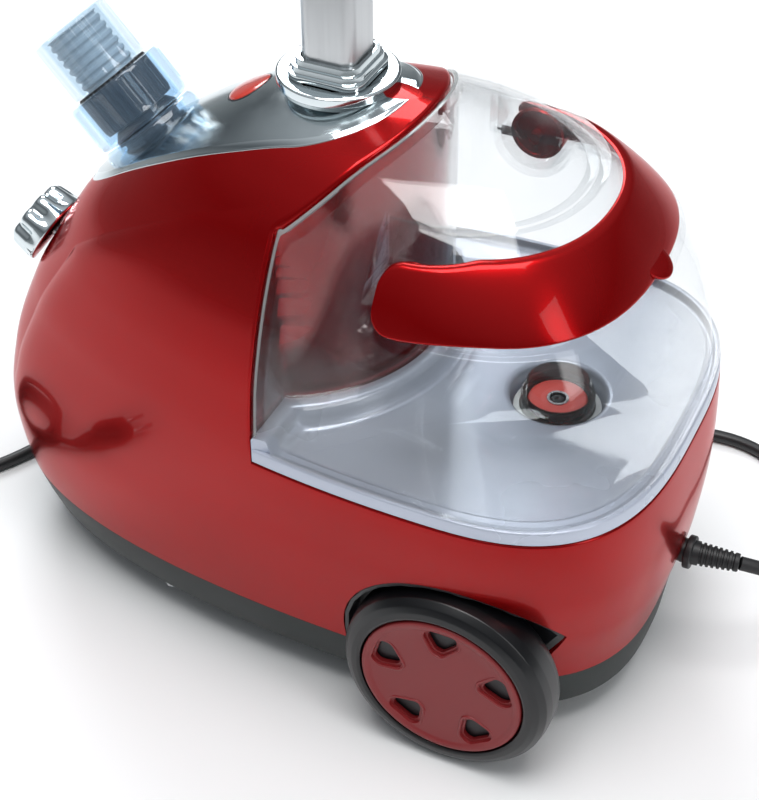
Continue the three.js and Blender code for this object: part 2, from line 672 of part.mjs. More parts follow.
function axleClip() {
  return turned(ringProfile(7, 4.2, 100.6, 102.4), 16);
}

function axle() {
  return rod(AXLE_R, [WHEEL_X, -102.9, WHEEL_R], [WHEEL_X, 102.9, WHEEL_R], 24);
}

// ---- casters -----------------------------------------------------------------------------------

const casterWheelX = CASTER_X - CASTER_TRAIL;

function casterFork(y) {
  const plate = rod(17, [CASTER_X, y, 27.2], [CASTER_X, y, 30.2], 20);
  const pin = rod(3, [CASTER_X, y, 27.2], [CASTER_X, y, 40], 16);
  const cheek = (at) => box([casterWheelX - 5, at - 1.2, CASTER_R - 5], [CASTER_X + 6, at + 1.2, 28]);
  return union(plate, pin, cheek(y - 7.4), cheek(y + 7.4))
    .subtract(rod(1.8, [casterWheelX, y - 12, CASTER_R], [casterWheelX, y + 12, CASTER_R], 12));
}

function casterWheel(y) {
  const tread = turned([[2, -5.6], [11, -5.6], [CASTER_R, -4], [CASTER_R, 4], [11, 5.6], [2, 5.6],
    [2, -5.6]], 20);
  return tread.rotate([90, 0, 0]).translate([casterWheelX, y, CASTER_R]);
}

function casterPin(y) {
  return rod(1.5, [casterWheelX, y - 9, CASTER_R], [casterWheelX, y + 9, CASTER_R], 12);
}

// ---- inside ------------------------------------------------------------------------------------

function boiler() {
  const drum = turned([[0, 36], [43, 36], [46, 39], [46, 60], [52, 62], [52, 68], [46, 70], [40, 92],
    [0, 96]], 20);
  const outlet = rod(7, [0, 0, 90], [0, 0, 106], 16).subtract(rod(4, [0, 0, 97], [0, 0, 107], 12));
  return drum.add(outlet).translate([-62, 0, 0]);
}

function boilerBracket() {
  const plate = box([-88, -34, PAN_Z + WALL + GAP], [-6, 34, PAN_Z + WALL + 3]);
  const feet = [[-62, 24], [-62, -24], [-38, 0], [-86, 0]].map(([x, y]) => rod(5, [x, y, 23],
    [x, y, 35.6], 12));
  return union(plate, ...feet);
}

function thermostat() {
  return turned([[0, 0], [9, 0], [9, 4], [6, 4], [6, 9], [0, 9]], 20).translate([-36, 20, 96.6]);
}

function steamTube() {
  const end = along(NUT_FOOT, NUT_TILT, -16.6);
  const before = along(NUT_FOOT, NUT_TILT, -34);
  return tubeAlong([[-62, 0, 106.6], [-62, 0, 124], [-60, 0, 150], [-58, 0, 185], before, end], 6.6, 8, 14);
}

function pump() {
  const body = rod(15, [22, -34, 42], [22, 8, 42], 24).add(box([4, -24, PAN_Z + WALL + GAP], [40, 0, 40]));
  return body.add(rod(4, [22, 6, 42], [22, 20, 42], 12)).add(rod(4, [22, -34, 42], [22, -46, 42], 12));
}

function feedHose() {
  const top = [VALVE_X - 14, 0, WELL_Z - 12.6];
  return tubeAlong([top, [VALVE_X - 14, 0, 100], [94, 2, 82], [70, 14, 66], [44, 30, 50],
    [30, 34, 42.5], [22, 28, 42],
    [22, 20.4, 42]], 4.6, 8, 20);
}

function boilerHose() {
  return tubeAlong([[22, -46.4, 42], [22, -54, 42], [12, -62, 42], [-6, -66, 46], [-24, -60, 50],
    [-38, -50, 50],
    [-42.4, -45.6, 50]], 4.2, 8, 14);
}

function terminalBlock() {
  return box([128, -22, PAN_Z + WALL + GAP], [154, 22, 40]).add(box([134, -18, 39], [148, 18, 45]));
}

function baseScrew([x, y]) {
  const head = rod(3.8, [x, y, PAN_Z - 2.6], [x, y, PAN_Z - GAP], 14);
  return head.add(rod(1.3, [x, y, PAN_Z - 1], [x, y, 58], 8));
}

// ---- mains lead --------------------------------------------------------------------------------

const GLAND_Y = 12;
const GLAND_Z = 68;

function strainRelief() {
  const flange = rod(6, [178.4, GLAND_Y, GLAND_Z], [186, GLAND_Y, GLAND_Z], 20);
  const collar = rod(8.4, [184.6, GLAND_Y, GLAND_Z], [188.2, GLAND_Y, GLAND_Z], 24);
  const taper = rod(6.2, [188, GLAND_Y, GLAND_Z], [210, GLAND_Y + 3.5, GLAND_Z - 1.2], 20, 4.6);
  return union(flange, collar, taper);
}

// Chosen by hand: out of the strain relief, down to the floor, round behind the unit to its nose.
const CORD_ROUTE = [
  [210.6, 15.6, 66.8], [219, 17, 66], [229, 22, 61.5], [236, 32, 53], [239, 47, 39], [236, 64, 23],
  [230, 82, 9.6], [227.4, 92, 5.4], [224.5, 103, CORD_Z], [221, 120, CORD_Z], [216, 142, CORD_Z],
    [203, 163, CORD_Z], [182, 176, CORD_Z], [158, 178, CORD_Z],
  [130, 170, CORD_Z], [95, 158, CORD_Z], [50, 152, CORD_Z], [0, 149, CORD_Z], [-50, 140, CORD_Z],
  [-95, 122, CORD_Z], [-134, 98, CORD_Z], [-164, 66, CORD_Z], [-183, 32, CORD_Z], [-193, 4, CORD_Z],
  [-203, -20, CORD_Z], [-213.5, -29.5, CORD_Z], [-220.7, -36.7, CORD_Z],
];

function cordTube() {
  return tubeAlong(CORD_ROUTE, CORD_R, 8, 48);
}

function cordCoil() {
  return turned(ringProfile(COIL.outer, COIL.inner, CORD_Z - CORD_R, COIL.height), 28)
    .translate([COIL.x, COIL.y, 0]);
}

function mainsPlug() {
  const body = box([-17, -17, 0], [17, 17, 17]);
  const shaped = body.intersect(rod(21, [0, 0, -1], [0, 0, 18], 32));
  const tail = rod(6, [16, 0, 8.5], [34, 0, 8.5], 16, 4.6);
  const pins = [-9.5, 9.5].map((y) => rod(2.4, [-36, y, 8.5], [-16, y, 8.5], 12));
  return union(shaped, tail, ...pins).rotate([0, 0, 90]).translate([PLUG.x, PLUG.y, 0.2]);
}

// ---- assembly ----------------------------------------------------------------------------------

const material = (color, roughness, metalness, opacity = 1) => new THREE.MeshStandardMaterial({
  color, roughness, metalness, opacity, transparent: opacity < 1,
});
const RED = material(0xa80d10, 0.18, 0.3);
const CAP_RED = material(0x8e1c1c, 0.4, 0);
const DARK = material(0x2b3030, 0.5, 0);
const BLACK = material(0x0c0c0d, 0.3, 0);
const RUBBER = material(0x151516, 0.7, 0);
const SEAL = material(0xb03a34, 0.6, 0);
const CHROME = material(0xd8dcdf, 0.08, 1);
const ALUMINIUM = material(0xb4b8ba, 0.35, 1);
const STEEL = material(0x9a9ea2, 0.3, 1);
const SILVER = material(0xa3b0ba, 0.35, 0.2);
const CLEAR = material(0xdfe8e6, 0.05, 0, 0.3);
const BLUE_CLEAR = material(0x9fbfe0, 0.05, 0, 0.35);
const WHITE = material(0xd9dbd6, 0.5, 0);
const GREY = material(0x5a6064, 0.5, 0);
const LENS = material(0xb5241c, 0.2, 0, 0.8);

const steamer = new THREE.Group();

function piece(name, body, finish) {
  const mesh = new THREE.Mesh(geometryOf(body), finish);
  mesh.name = name;
  steamer.add(mesh);
}

piece('body_shell', bodyShell(), RED);
piece('base_pan', basePan(), DARK);
const liner = archLiner();
piece('arch_liner_left', liner, BLACK);
piece('arch_liner_right', mirrored(liner), BLACK);
piece('chrome_panel', chromePanel(), CHROME);
piece('pole_flange', poleFlange(), CHROME);
piece('pole_collar', poleCollar(), CHROME);
piece('pole_tube', poleTube(), ALUMINIUM);
piece('pole_socket', poleSocket(), BLACK);
piece('indicator_lens', indicatorLens(), LENS);
piece('indicator_lamp', indicatorLamp(), WHITE);
piece('steam_knob', steamKnob(), CHROME);
piece('knob_shaft', knobShaft(), STEEL);
piece('rotary_switch', rotarySwitch(), BLACK);
piece('outlet_spigot', outletSpigot(), CHROME);
piece('hose_seat', hoseSeat(), BLUE_CLEAR);
piece('hose_nut', hoseNut(), BLUE_CLEAR);
piece('nut_insert', nutInsert(), BLACK);
piece('hose_sleeve', hoseSleeve(), CLEAR);
piece('hose_tail', hoseTail(), GREY);
piece('tank_tray', tankTray(), SILVER);
piece('water_tank', waterTank(), CLEAR);
piece('tank_cap', tankCap(), WHITE);
piece('cap_seal', capSeal(), SEAL);
piece('valve_plunger', valvePlunger(), BLACK);
piece('valve_spring', valveSpring(), STEEL);
piece('tank_handle', tankHandle(), RED);
piece('handle_pin_left', handlePin(), STEEL);
piece('handle_pin_right', mirrored(handlePin()), STEEL);
for (const [name, side] of [['left', -1], ['right', 1]]) {
  piece(`rear_wheel_${name}`, wheelSide(wheelBody(), side), BLACK);
  piece(`hubcap_${name}`, wheelSide(hubcap(), side), CAP_RED);
  piece(`axle_clip_${name}`, wheelSide(axleClip(), side), STEEL);
  piece(`caster_fork_${name}`, casterFork(side * CASTER_Y), DARK);
  piece(`caster_wheel_${name}`, casterWheel(side * CASTER_Y), RUBBER);
  piece(`caster_pin_${name}`, casterPin(side * CASTER_Y), STEEL);
}
piece('rear_axle', axle(), STEEL);
piece('boiler', boiler(), ALUMINIUM);
piece('boiler_bracket', boilerBracket(), STEEL);
piece('thermostat', thermostat(), STEEL);
piece('steam_tube', steamTube(), WHITE);
piece('water_pump', pump(), WHITE);
piece('feed_hose', feedHose(), WHITE);
piece('boiler_hose', boilerHose(), WHITE);
piece('terminal_block', terminalBlock(), WHITE);
SCREWS.forEach((at, i) => piece(`base_screw_${i + 1}`, baseScrew(at), STEEL));
piece('strain_relief', strainRelief(), RUBBER);
piece('cord_tube', cordTube(), RUBBER);
piece('cord_coil', cordCoil(), RUBBER);
piece('mains_plug', mainsPlug(), RUBBER);

export default steamer;
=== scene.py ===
import math

import bmesh
import bpy
import numpy as np
from mathutils import Matrix, Vector


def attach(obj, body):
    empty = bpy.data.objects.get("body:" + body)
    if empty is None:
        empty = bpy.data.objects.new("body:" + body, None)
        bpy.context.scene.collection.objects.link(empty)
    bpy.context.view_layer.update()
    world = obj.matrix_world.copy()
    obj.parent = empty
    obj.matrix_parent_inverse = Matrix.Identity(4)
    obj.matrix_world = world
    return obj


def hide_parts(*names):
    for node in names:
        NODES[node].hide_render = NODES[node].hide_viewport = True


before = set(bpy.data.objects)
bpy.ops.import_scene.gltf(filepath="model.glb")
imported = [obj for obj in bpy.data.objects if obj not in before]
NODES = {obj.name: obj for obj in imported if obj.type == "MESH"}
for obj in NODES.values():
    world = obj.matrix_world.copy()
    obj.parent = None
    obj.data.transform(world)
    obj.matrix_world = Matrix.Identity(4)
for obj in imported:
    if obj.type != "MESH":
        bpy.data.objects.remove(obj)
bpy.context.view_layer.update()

MM = 0.001


def linked(name, data):
    """A new object in the scene for a data block."""
    made = bpy.data.objects.new(name, data)
    bpy.context.scene.collection.objects.link(made)
    return made


# ---- camera ----

AZIMUTH, ELEVATION, ROLL = math.radians(25.8348), math.radians(39.6724), math.radians(-0.51275)
FOCAL_PX, FRAME_H, SENSOR = 1788.778, 800, 36.0
TARGET = Vector((24.463, 0, 115.997)) * MM
DISTANCE = 887.825 * MM


def make_camera():
    back = Vector((math.sin(AZIMUTH) * math.cos(ELEVATION), -math.cos(AZIMUTH) * math.cos(ELEVATION),
                   math.sin(ELEVATION)))
    right = Vector((0, 0, 1)).cross(back).normalized()
    up = back.cross(right)
    turned_right = right * math.cos(ROLL) + up * math.sin(ROLL)
    turned_up = up * math.cos(ROLL) - right * math.sin(ROLL)
    camera = linked("camera", bpy.data.cameras.new("camera"))
    camera.data.sensor_width = SENSOR
    camera.data.lens = FOCAL_PX / FRAME_H * SENSOR
    camera.data.clip_end = 30
    place = Matrix((turned_right, turned_up, back)).transposed().to_4x4()
    place.translation = TARGET + DISTANCE * back
    camera.matrix_world = place
    bpy.context.scene.camera = camera


make_camera()

# ---- materials ----

# Where the noise is stretched to full contrast, and the depth of a surface's grain in metres.
NOISE_LOW, NOISE_HIGH, GRAIN_DEPTH = 0.3, 0.7, 0.0002
# How much clear plastic mirrors face on and edge on, and how late it rises between them.
MIRROR_FACE, MIRROR_EDGE, MIRROR_POWER = 0.035, 0.80, 4.0


def empty_material(name):
    made = bpy.data.materials.new(name)
    made.use_nodes = True
    tree = made.node_tree
    tree.nodes.clear()
    return made, tree, tree.nodes.new("ShaderNodeOutputMaterial")


def new_material(name):
    made, tree, out = empty_material(name)
    shader = tree.nodes.new("ShaderNodeBsdfPrincipled")
    tree.links.new(shader.outputs[0], out.inputs[0])
    return made, tree, shader


def noise(tree, scale, detail=3.0, stretch=(1, 1, 1)):
    where = tree.nodes.new("ShaderNodeTexCoord")
    mapping = tree.nodes.new("ShaderNodeMapping")
    mapping.inputs["Scale"].default_value = stretch
    made = tree.nodes.new("ShaderNodeTexNoise")
    made.inputs["Scale"].default_value = scale
    made.inputs["Detail"].default_value = detail
    tree.links.new(where.outputs["Object"], mapping.inputs["Vector"])
    tree.links.new(mapping.outputs[0], made.inputs["Vector"])
    return made


def ranged(tree, source, low, high):
    made = tree.nodes.new("ShaderNodeMapRange")
    made.inputs["From Min"].default_value = NOISE_LOW
    made.inputs["From Max"].default_value = NOISE_HIGH
    made.inputs["To Min"].default_value = low
    made.inputs["To Max"].default_value = high
    tree.links.new(source, made.inputs["Value"])
    return made.outputs[0]


def tinted(tree, source, first, second):
    ramp = tree.nodes.new("ShaderNodeValToRGB")
    ramp.color_ramp.elements[0].position = NOISE_LOW
    ramp.color_ramp.elements[1].position = NOISE_HIGH
    ramp.color_ramp.elements[0].color = (*first, 1)
    ramp.color_ramp.elements[1].color = (*second, 1)
    tree.links.new(source, ramp.inputs[0])
    return ramp.outputs[0]


def bumped(tree, shader, source, strength, distance):
    bump = tree.nodes.new("ShaderNodeBump")
    bump.inputs["Strength"].default_value = strength
    bump.inputs["Distance"].default_value = distance
    tree.links.new(source, bump.inputs["Height"])
    tree.links.new(bump.outputs[0], shader.inputs["Normal"])


def plastic(name, color, rough, vary=0.12, grain=900.0, bump=0.06, metallic=0.0, coat=0.0, wear=8.0):
    """Moulded plastic: slow colour drift, uneven gloss and a fine surface grain."""
    made, tree, shader = new_material(name)
    slow = noise(tree, wear, 4.0)
    fine = noise(tree, grain, 2.0)
    darker = tuple(c * (1 - vary) for c in color)
    lighter = tuple(min(1, c * (1 + vary)) for c in color)
    tree.links.new(tinted(tree, slow.outputs[0], darker, lighter), shader.inputs["Base Color"])
    tree.links.new(ranged(tree, slow.outputs[0], rough * 0.85, rough * 1.2), shader.inputs["Roughness"])
    bumped(tree, shader, fine.outputs[0], bump, GRAIN_DEPTH)
    shader.inputs["Metallic"].default_value = metallic
    shader.inputs["Coat Weight"].default_value = coat
    shader.inputs["Coat Roughness"].default_value = 0.03
    return made


def metal(name, color, rough, stretch=(1, 1, 1), grain=400.0, bump=0.05, vary=0.06):
    """Bare or plated metal, with streaks along one axis where stretch squashes the noise."""
    made, tree, shader = new_material(name)
    streaks = noise(tree, grain, 3.0, stretch)
    slow = noise(tree, 12.0, 3.0)
    darker = tuple(c * (1 - vary) for c in color)
    tree.links.new(tinted(tree, slow.outputs[0], darker, color), shader.inputs["Base Color"])
    tree.links.new(ranged(tree, streaks.outputs[0], rough * 0.8, rough * 1.25), shader.inputs["Roughness"])
    bumped(tree, shader, streaks.outputs[0], bump, GRAIN_DEPTH)
    shader.inputs["Metallic"].default_value = 1.0
    return made


def see_through(name, tint, gloss=1.0, milk=0.0, milk_color=(0.7, 0.72, 0.72)):
    """Thin clear plastic: what is behind shows through with a tint, and the surface still mirrors light."""
    made, tree, out = empty_material(name)
    clear = tree.nodes.new("ShaderNodeBsdfTransparent")
    drift = noise(tree, 14.0, 3.0)
    paler = tuple(min(1, c * 1.03) for c in tint)
    tree.links.new(tinted(tree, drift.outputs[0], tint, paler), clear.inputs[0])
    haze = tree.nodes.new("ShaderNodeBsdfDiffuse")
    haze.inputs[0].default_value = (*milk_color, 1)
    cloudy = tree.nodes.new("ShaderNodeMixShader")
    cloudy.inputs[0].default_value = milk
    tree.links.new(clear.outputs[0], cloudy.inputs[1])
    tree.links.new(haze.outputs[0], cloudy.inputs[2])
    shine = tree.nodes.new("ShaderNodeBsdfGlossy")
    shine.inputs["Roughness"].default_value = 0.04
    shine.inputs[0].default_value = (gloss, gloss, gloss, 1)
    # The same mirror on both faces of a thin wall: faint face on, strong at a grazing angle.
    facing = tree.nodes.new("ShaderNodeLayerWeight")
    facing.inputs["Blend"].default_value = 0.5
    steep = tree.nodes.new("ShaderNodeMath")
    steep.operation = "POWER"
    tree.links.new(facing.outputs["Facing"], steep.inputs[0])
    steep.inputs[1].default_value = MIRROR_POWER
    mirror = tree.nodes.new("ShaderNodeMapRange")
    mirror.inputs["To Min"].default_value = MIRROR_FACE
    mirror.inputs["To Max"].default_value = MIRROR_EDGE
    tree.links.new(steep.outputs[0], mirror.inputs["Value"])
    mix = tree.nodes.new("ShaderNodeMixShader")
    tree.links.new(mirror.outputs[0], mix.inputs[0])
    tree.links.new(cloudy.outputs[0], mix.inputs[1])
    tree.links.new(shine.outputs[0], mix.inputs[2])
    bumped(tree, shine, noise(tree, 60.0, 2.0).outputs[0], 0.05, 0.0005)
    tree.links.new(mix.outputs[0], out.inputs[0])
    return made


RED = plastic("red_gloss", (0.34, 0.001, 0.002), 0.23, 0.10, 1400.0, 0.02, metallic=0.70, coat=0.30)
RED.node_tree.nodes["Principled BSDF"].inputs["Specular Tint"].default_value = (0.8, 0.10, 0.10, 1)
HUBCAP_RED = plastic("hubcap_red", (0.22, 0.012, 0.014), 0.40, 0.10, 1200.0, 0.10)
DARK = plastic("base_dark", (0.014, 0.019, 0.018), 0.50, 0.15, 1100.0, 0.15)
WHEEL_BLACK = plastic("wheel_black", (0.003, 0.003, 0.004), 0.28, 0.2, 900.0, 0.03)
BLACK = plastic("black_plastic", (0.012, 0.012, 0.014), 0.35, 0.2, 1000.0, 0.1)
RUBBER = plastic("black_rubber", (0.012, 0.012, 0.013), 0.45, 0.2, 1500.0, 0.15)
CHROME = metal("chrome", (0.72, 0.78, 0.80), 0.07, grain=250.0, bump=0.01)
SATIN = metal("satin_chrome", (0.58, 0.64, 0.66), 0.15, grain=120.0, bump=0.003)
ALUMINIUM = metal("aluminium", (0.62, 0.63, 0.64), 0.34, (1, 1, 0.02), 700.0, 0.10)
STEEL = metal("steel", (0.50, 0.51, 0.52), 0.3, (1, 1, 0.2), 500.0, 0.08)
SILVER = plastic("tray_silver", (0.52, 0.56, 0.66), 0.30, 0.06, 1500.0, 0.05, metallic=0.25, coat=0.3)
WHITE = plastic("white_plastic", (0.80, 0.82, 0.80), 0.4, 0.06, 900.0, 0.08)
SILICONE = plastic("silicone", (0.55, 0.55, 0.52), 0.45, 0.08, 700.0, 0.1)
SEAL_RED = plastic("seal_red", (0.80, 0.09, 0.07), 0.45, 0.12, 900.0, 0.1)
HOSE_GREY = plastic("hose_grey", (0.42, 0.46, 0.50), 0.4, 0.12, 800.0, 0.1)
CLEAR = see_through("clear_tank", (0.965, 0.970, 0.975))
CLEAR_EDGE = see_through("clear_tank_edge", (0.72, 0.74, 0.74), 1.0, 0.45, (0.45, 0.46, 0.46))
CLEAR_BLUE = see_through("clear_blue", (0.78, 0.88, 0.96), 1.3, 0.05, (0.45, 0.62, 0.80))
CLEAR_SLEEVE = see_through("clear_sleeve", (0.86, 0.92, 0.96), 1.2, 0.06, (0.6, 0.7, 0.8))
LENS_RED = plastic("lens_red", (0.50, 0.035, 0.02), 0.18, 0.1, 700.0, 0.04, coat=0.8)

# ---- meshes ----


WELD, CUTTER_WELD = 1e-6, 1e-7


def mesh_object(name, verts, faces, weld):
    """A mesh given in millimetres, with its seams joined and its faces turned outwards."""
    mesh = bpy.data.meshes.new(name)
    mesh.from_pydata([tuple(v) for v in np.asarray(verts, float) * MM], [], faces)
    work = bmesh.new()
    work.from_mesh(mesh)
    bmesh.ops.remove_doubles(work, verts=work.verts, dist=weld)
    bmesh.ops.recalc_face_normals(work, faces=work.faces)
    work.to_mesh(mesh)
    work.free()
    return linked(name, mesh)


def add_piece(name, verts, faces, material, body, replaces=(), slot=None, sharp=40):
    """A smooth-shaded piece that rides on a body; with no body it is dressed later."""
    made = mesh_object(name, verts, faces, WELD)
    dress(made, material, body, replaces, sharp)
    return made


def dress(made, material, body, replaces=(), sharp=40):
    made.data.materials.clear()
    made.data.materials.append(material)
    made.data.shade_smooth()
    made.data.set_sharp_from_angle(angle=math.radians(sharp))
    if body:
        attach(made, body)
        if replaces:
            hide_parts(*replaces)


def loops_to_mesh(loops, low_cap=True, high_cap=True):
    """Quads between stacked closed loops of one length, with a face over each end."""
    loops = [np.asarray(loop, float) for loop in loops]
    count = len(loops[0])
    verts = np.concatenate(loops)
    faces = []
    for row in range(len(loops) - 1):
        for col in range(count):
            after = (col + 1) % count
            faces.append((row * count + col, row * count + after, (row + 1) * count + after,
                          (row + 1) * count + col))
    if low_cap:
        faces.append(tuple(range(count))[::-1])
    if high_cap:
        faces.append(tuple(range((len(loops) - 1) * count, len(loops) * count)))
    return verts, faces


def merged(parts):
    verts, faces, start = [], [], 0
    for part_verts, part_faces in parts:
        verts.append(part_verts)
        faces += [tuple(i + start for i in face) for face in part_faces]
        start += len(part_verts)
    return np.concatenate(verts), faces


def level(x, y, z):
    """A row of points, all at height z."""
    return np.stack([x, y, np.full_like(x, z)], 1)


def around(count):
    return np.arange(count) * 2 * math.pi / count


def fluted(rows, wave):
    """Rings round Z from (radius, height, depth) rows, each cut in by its depth times the wave."""
    angles = around(len(wave))
    loops = []
    for radius, height, depth in rows:
        r = radius - depth * wave
        loops.append(level(r * np.cos(angles), r * np.sin(angles), height))
    return loops


def turned(profile, count=96):
    """Revolves (radius, height) points round Z; the profile is closed through the axis or on itself."""
    closed = profile[0] == profile[-1]
    loops = fluted([(r, h, 0) for r, h in profile], np.zeros(count))
    return loops_to_mesh(loops, not closed, not closed)


def unit(rows):
    return rows / np.maximum(np.linalg.norm(rows, axis=1), 1e-9)[:, None]


def smooth_step(value, low, high):
    t = np.clip((np.asarray(value, float) - low) / (high - low), 0, 1)
    return t * t * (3 - 2 * t)


def bend(a, corner, b, steps):
    """Points on the arc that leaves a towards the corner and arrives at b from it."""
    shares = [k / steps for k in range(steps + 1)]
    return [(1 - t) ** 2 * a + 2 * t * (1 - t) * corner + t * t * b for t in shares]


def placed(part, matrix):
    verts, faces = part
    return np.asarray(verts) @ np.array(matrix)[:3, :3].T + np.array(matrix)[:3, 3], faces


def rounded(points, radii, steps=5, closed=False):
    """A polyline with its corners rounded."""
    points = [np.asarray(p, float) for p in points]
    if not isinstance(radii, (list, tuple)):
        radii = [radii] * len(points)
    out = []
    for i, p in enumerate(points):
        if not closed and i in (0, len(points) - 1) or radii[i] <= 0:
            out.append(p)
            continue
        before, after = points[i - 1] - p, points[(i + 1) % len(points)] - p
        lb, la = np.linalg.norm(before), np.linalg.norm(after)
        cut = min(radii[i], lb * 0.48, la * 0.48)
        out += bend(p + before / lb * cut, p, p + after / la * cut, steps)
    return out


def turned_soft(points, radii, count=96, steps=4):
    return turned([tuple(p) for p in rounded(points, radii, steps)], count)


def carve(target, tools):
    """Cuts each tool out of the target, then removes the tools."""
    for tool in tools:
        modifier = target.modifiers.new("cut", "BOOLEAN")
        modifier.object = tool
        modifier.operation = "DIFFERENCE"
        modifier.solver = "EXACT"
    bpy.context.view_layer.update()
    graph = bpy.context.evaluated_depsgraph_get()
    mesh = bpy.data.meshes.new_from_object(target.evaluated_get(graph))
    target.modifiers.clear()
    target.data = mesh
    for tool in tools:
        bpy.data.objects.remove(tool)


def cutter(part):
    return mesh_object("cutter", *part, CUTTER_WELD)


def cylinder(radius, low, high, count):
    return turned([(radius, low), (radius, high)], count)


def block(x0, x1, y0, y1, z0, z1):
    corners = [(x0, y0), (x1, y0), (x1, y1), (x0, y1)]
    return loops_to_mesh([np.array([(x, y, z) for x, y in corners]) for z in (z0, z1)])


def moved(x, y, z):
    return Matrix.Translation((x, y, z))


def spun(degrees, axis):
    return Matrix.Rotation(math.radians(degrees), 4, axis)


# ---- mains cord ----

CORD_R, CORD_LAY = 3.5, 3.8
# The way from the strain relief down to the floor, then round behind the base along the floor.
ROUTE = [(210.6, 15.6, 66.8), (219, 17, 66), (229, 22, 61.5), (236, 32, 53), (239, 47, 39), (236, 64, 23),
         (230, 82, 9.6), (227.4, 92, 5.4)]
FLOOR_ROUTE = [(224.5, 103), (221, 120), (216, 142), (203, 163), (182, 176), (158, 178), (130, 170),
               (95, 158), (50, 152), (0, 149), (-50, 140), (-95, 122), (-134, 98), (-164, 66), (-183, 32),
               (-193, 4), (-203, -20), (-211.5, -28.5), (-217.4, -38.5), (-220.4, -50)]
COIL_X, COIL_Y, OUTER_TURN, INNER_TURN, LAYER = -262.0, -60.0, 41.9, 34.5, 7.15
COIL_START, COIL_TURNS, TURN_POINTS = math.radians(-12), 4.0, 48
PLUG_X, PLUG_Y, PLUG_Z = -220.0, -144.0, 8.7


def through(points, steps=8):
    """A smooth line through points, close together (centripetal Catmull-Rom)."""
    p = np.array([2 * np.array(points[0]) - points[1], *points, 2 * np.array(points[-1]) - points[-2]], float)
    out = []
    for i in range(1, len(p) - 2):
        knots = np.cumsum([0, *(np.sqrt(np.linalg.norm(p[i + k] - p[i + k - 1])) for k in (0, 1, 2))])
        for t in knots[1] + (knots[2] - knots[1]) * np.arange(steps) / steps:
            rows = list(p[i - 1:i + 3])
            for level in (1, 2, 3):
                rows = [((knots[min(j + level, 3)] - t) * rows[j] + (t - knots[j]) * rows[j + 1])
                        / (knots[min(j + level, 3)] - knots[j]) for j in range(4 - level)]
            out.append(rows[0])
    out.append(p[-2])
    return np.array(out)


def coil_turns():
    """The outer turn on the floor, two inner ones, then the outer one again on top of the first."""
    t = np.arange(0, COIL_TURNS + 1e-9, 1 / TURN_POINTS)
    inward = smooth_step(t, 0.62, 0.88) - smooth_step(t, 2.36, 2.60)
    up = smooth_step(t, 1.42, 1.68) + smooth_step(t, 3.14, 3.40)
    radius = OUTER_TURN + (INNER_TURN - OUTER_TURN) * inward
    angle = COIL_START - 2 * math.pi * t
    x, y = COIL_X + radius * np.cos(angle), COIL_Y + radius * np.sin(angle)
    return np.stack([x, y, CORD_LAY + LAYER * up], 1)


def cord_line():
    coil = coil_turns()
    lead = [(x, y, CORD_LAY) for x, y in FLOOR_ROUTE]
    drop = [(PLUG_X - 0.2, -84, 17.4), (PLUG_X, -92, 14.6), (PLUG_X, -100, 11.2), (PLUG_X, -106, 9.3),
            (PLUG_X, -112, PLUG_Z), (PLUG_X, -120, PLUG_Z)]
    first = through(ROUTE + lead + [tuple(coil[0]), tuple(coil[4]), tuple(coil[8])])
    first = first[:-2 * 8]
    last = through([tuple(coil[-5]), tuple(coil[-1])] + drop)[8:]
    line = np.concatenate([first[:-1], coil[:-1], last])
    # Eases the bends of the route and of the drop to the plug, and leaves the coil as it is.
    ease = np.full((len(line), 1), 0.25)
    ease[len(first) - 6:len(first) + len(coil) - 4] = 0
    ease[:60] = 0.48
    for _ in range(70):
        line[1:-1] += ease[1:-1] * (line[:-2] - 2 * line[1:-1] + line[2:])
        line[:, 2] = np.maximum(line[:, 2], CORD_LAY - 0.2)
    return line


def make_cord():
    line = cord_line()
    curve = bpy.data.curves.new("mains_cord", "CURVE")
    curve.dimensions = "3D"
    spline = curve.splines.new("POLY")
    spline.points.add(len(line) - 1)
    for point, place in zip(spline.points, line * MM):
        point.co = (*place, 1)
    curve.bevel_depth = CORD_R * MM
    curve.bevel_resolution = 5
    curve.use_fill_caps = True
    made = linked("mains_cord", curve)
    curve.materials.append(RUBBER)
    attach(made, "base")
    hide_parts("cord_tube", "cord_coil")
    return made


def outline_rounded(x0, y0, x1, y1, radius, count=6):
    """A rounded rectangle as a closed loop of (x, y)."""
    corners = ((x1 - radius, y1 - radius, 0), (x0 + radius, y1 - radius, 90), (x0 + radius, y0 + radius, 180),
               (x1 - radius, y0 + radius, 270))
    return np.array([(x + radius * math.cos(math.radians(start + 90 * k / count)),
                      y + radius * math.sin(math.radians(start + 90 * k / count)))
                     for x, y, start in corners for k in range(count + 1)])


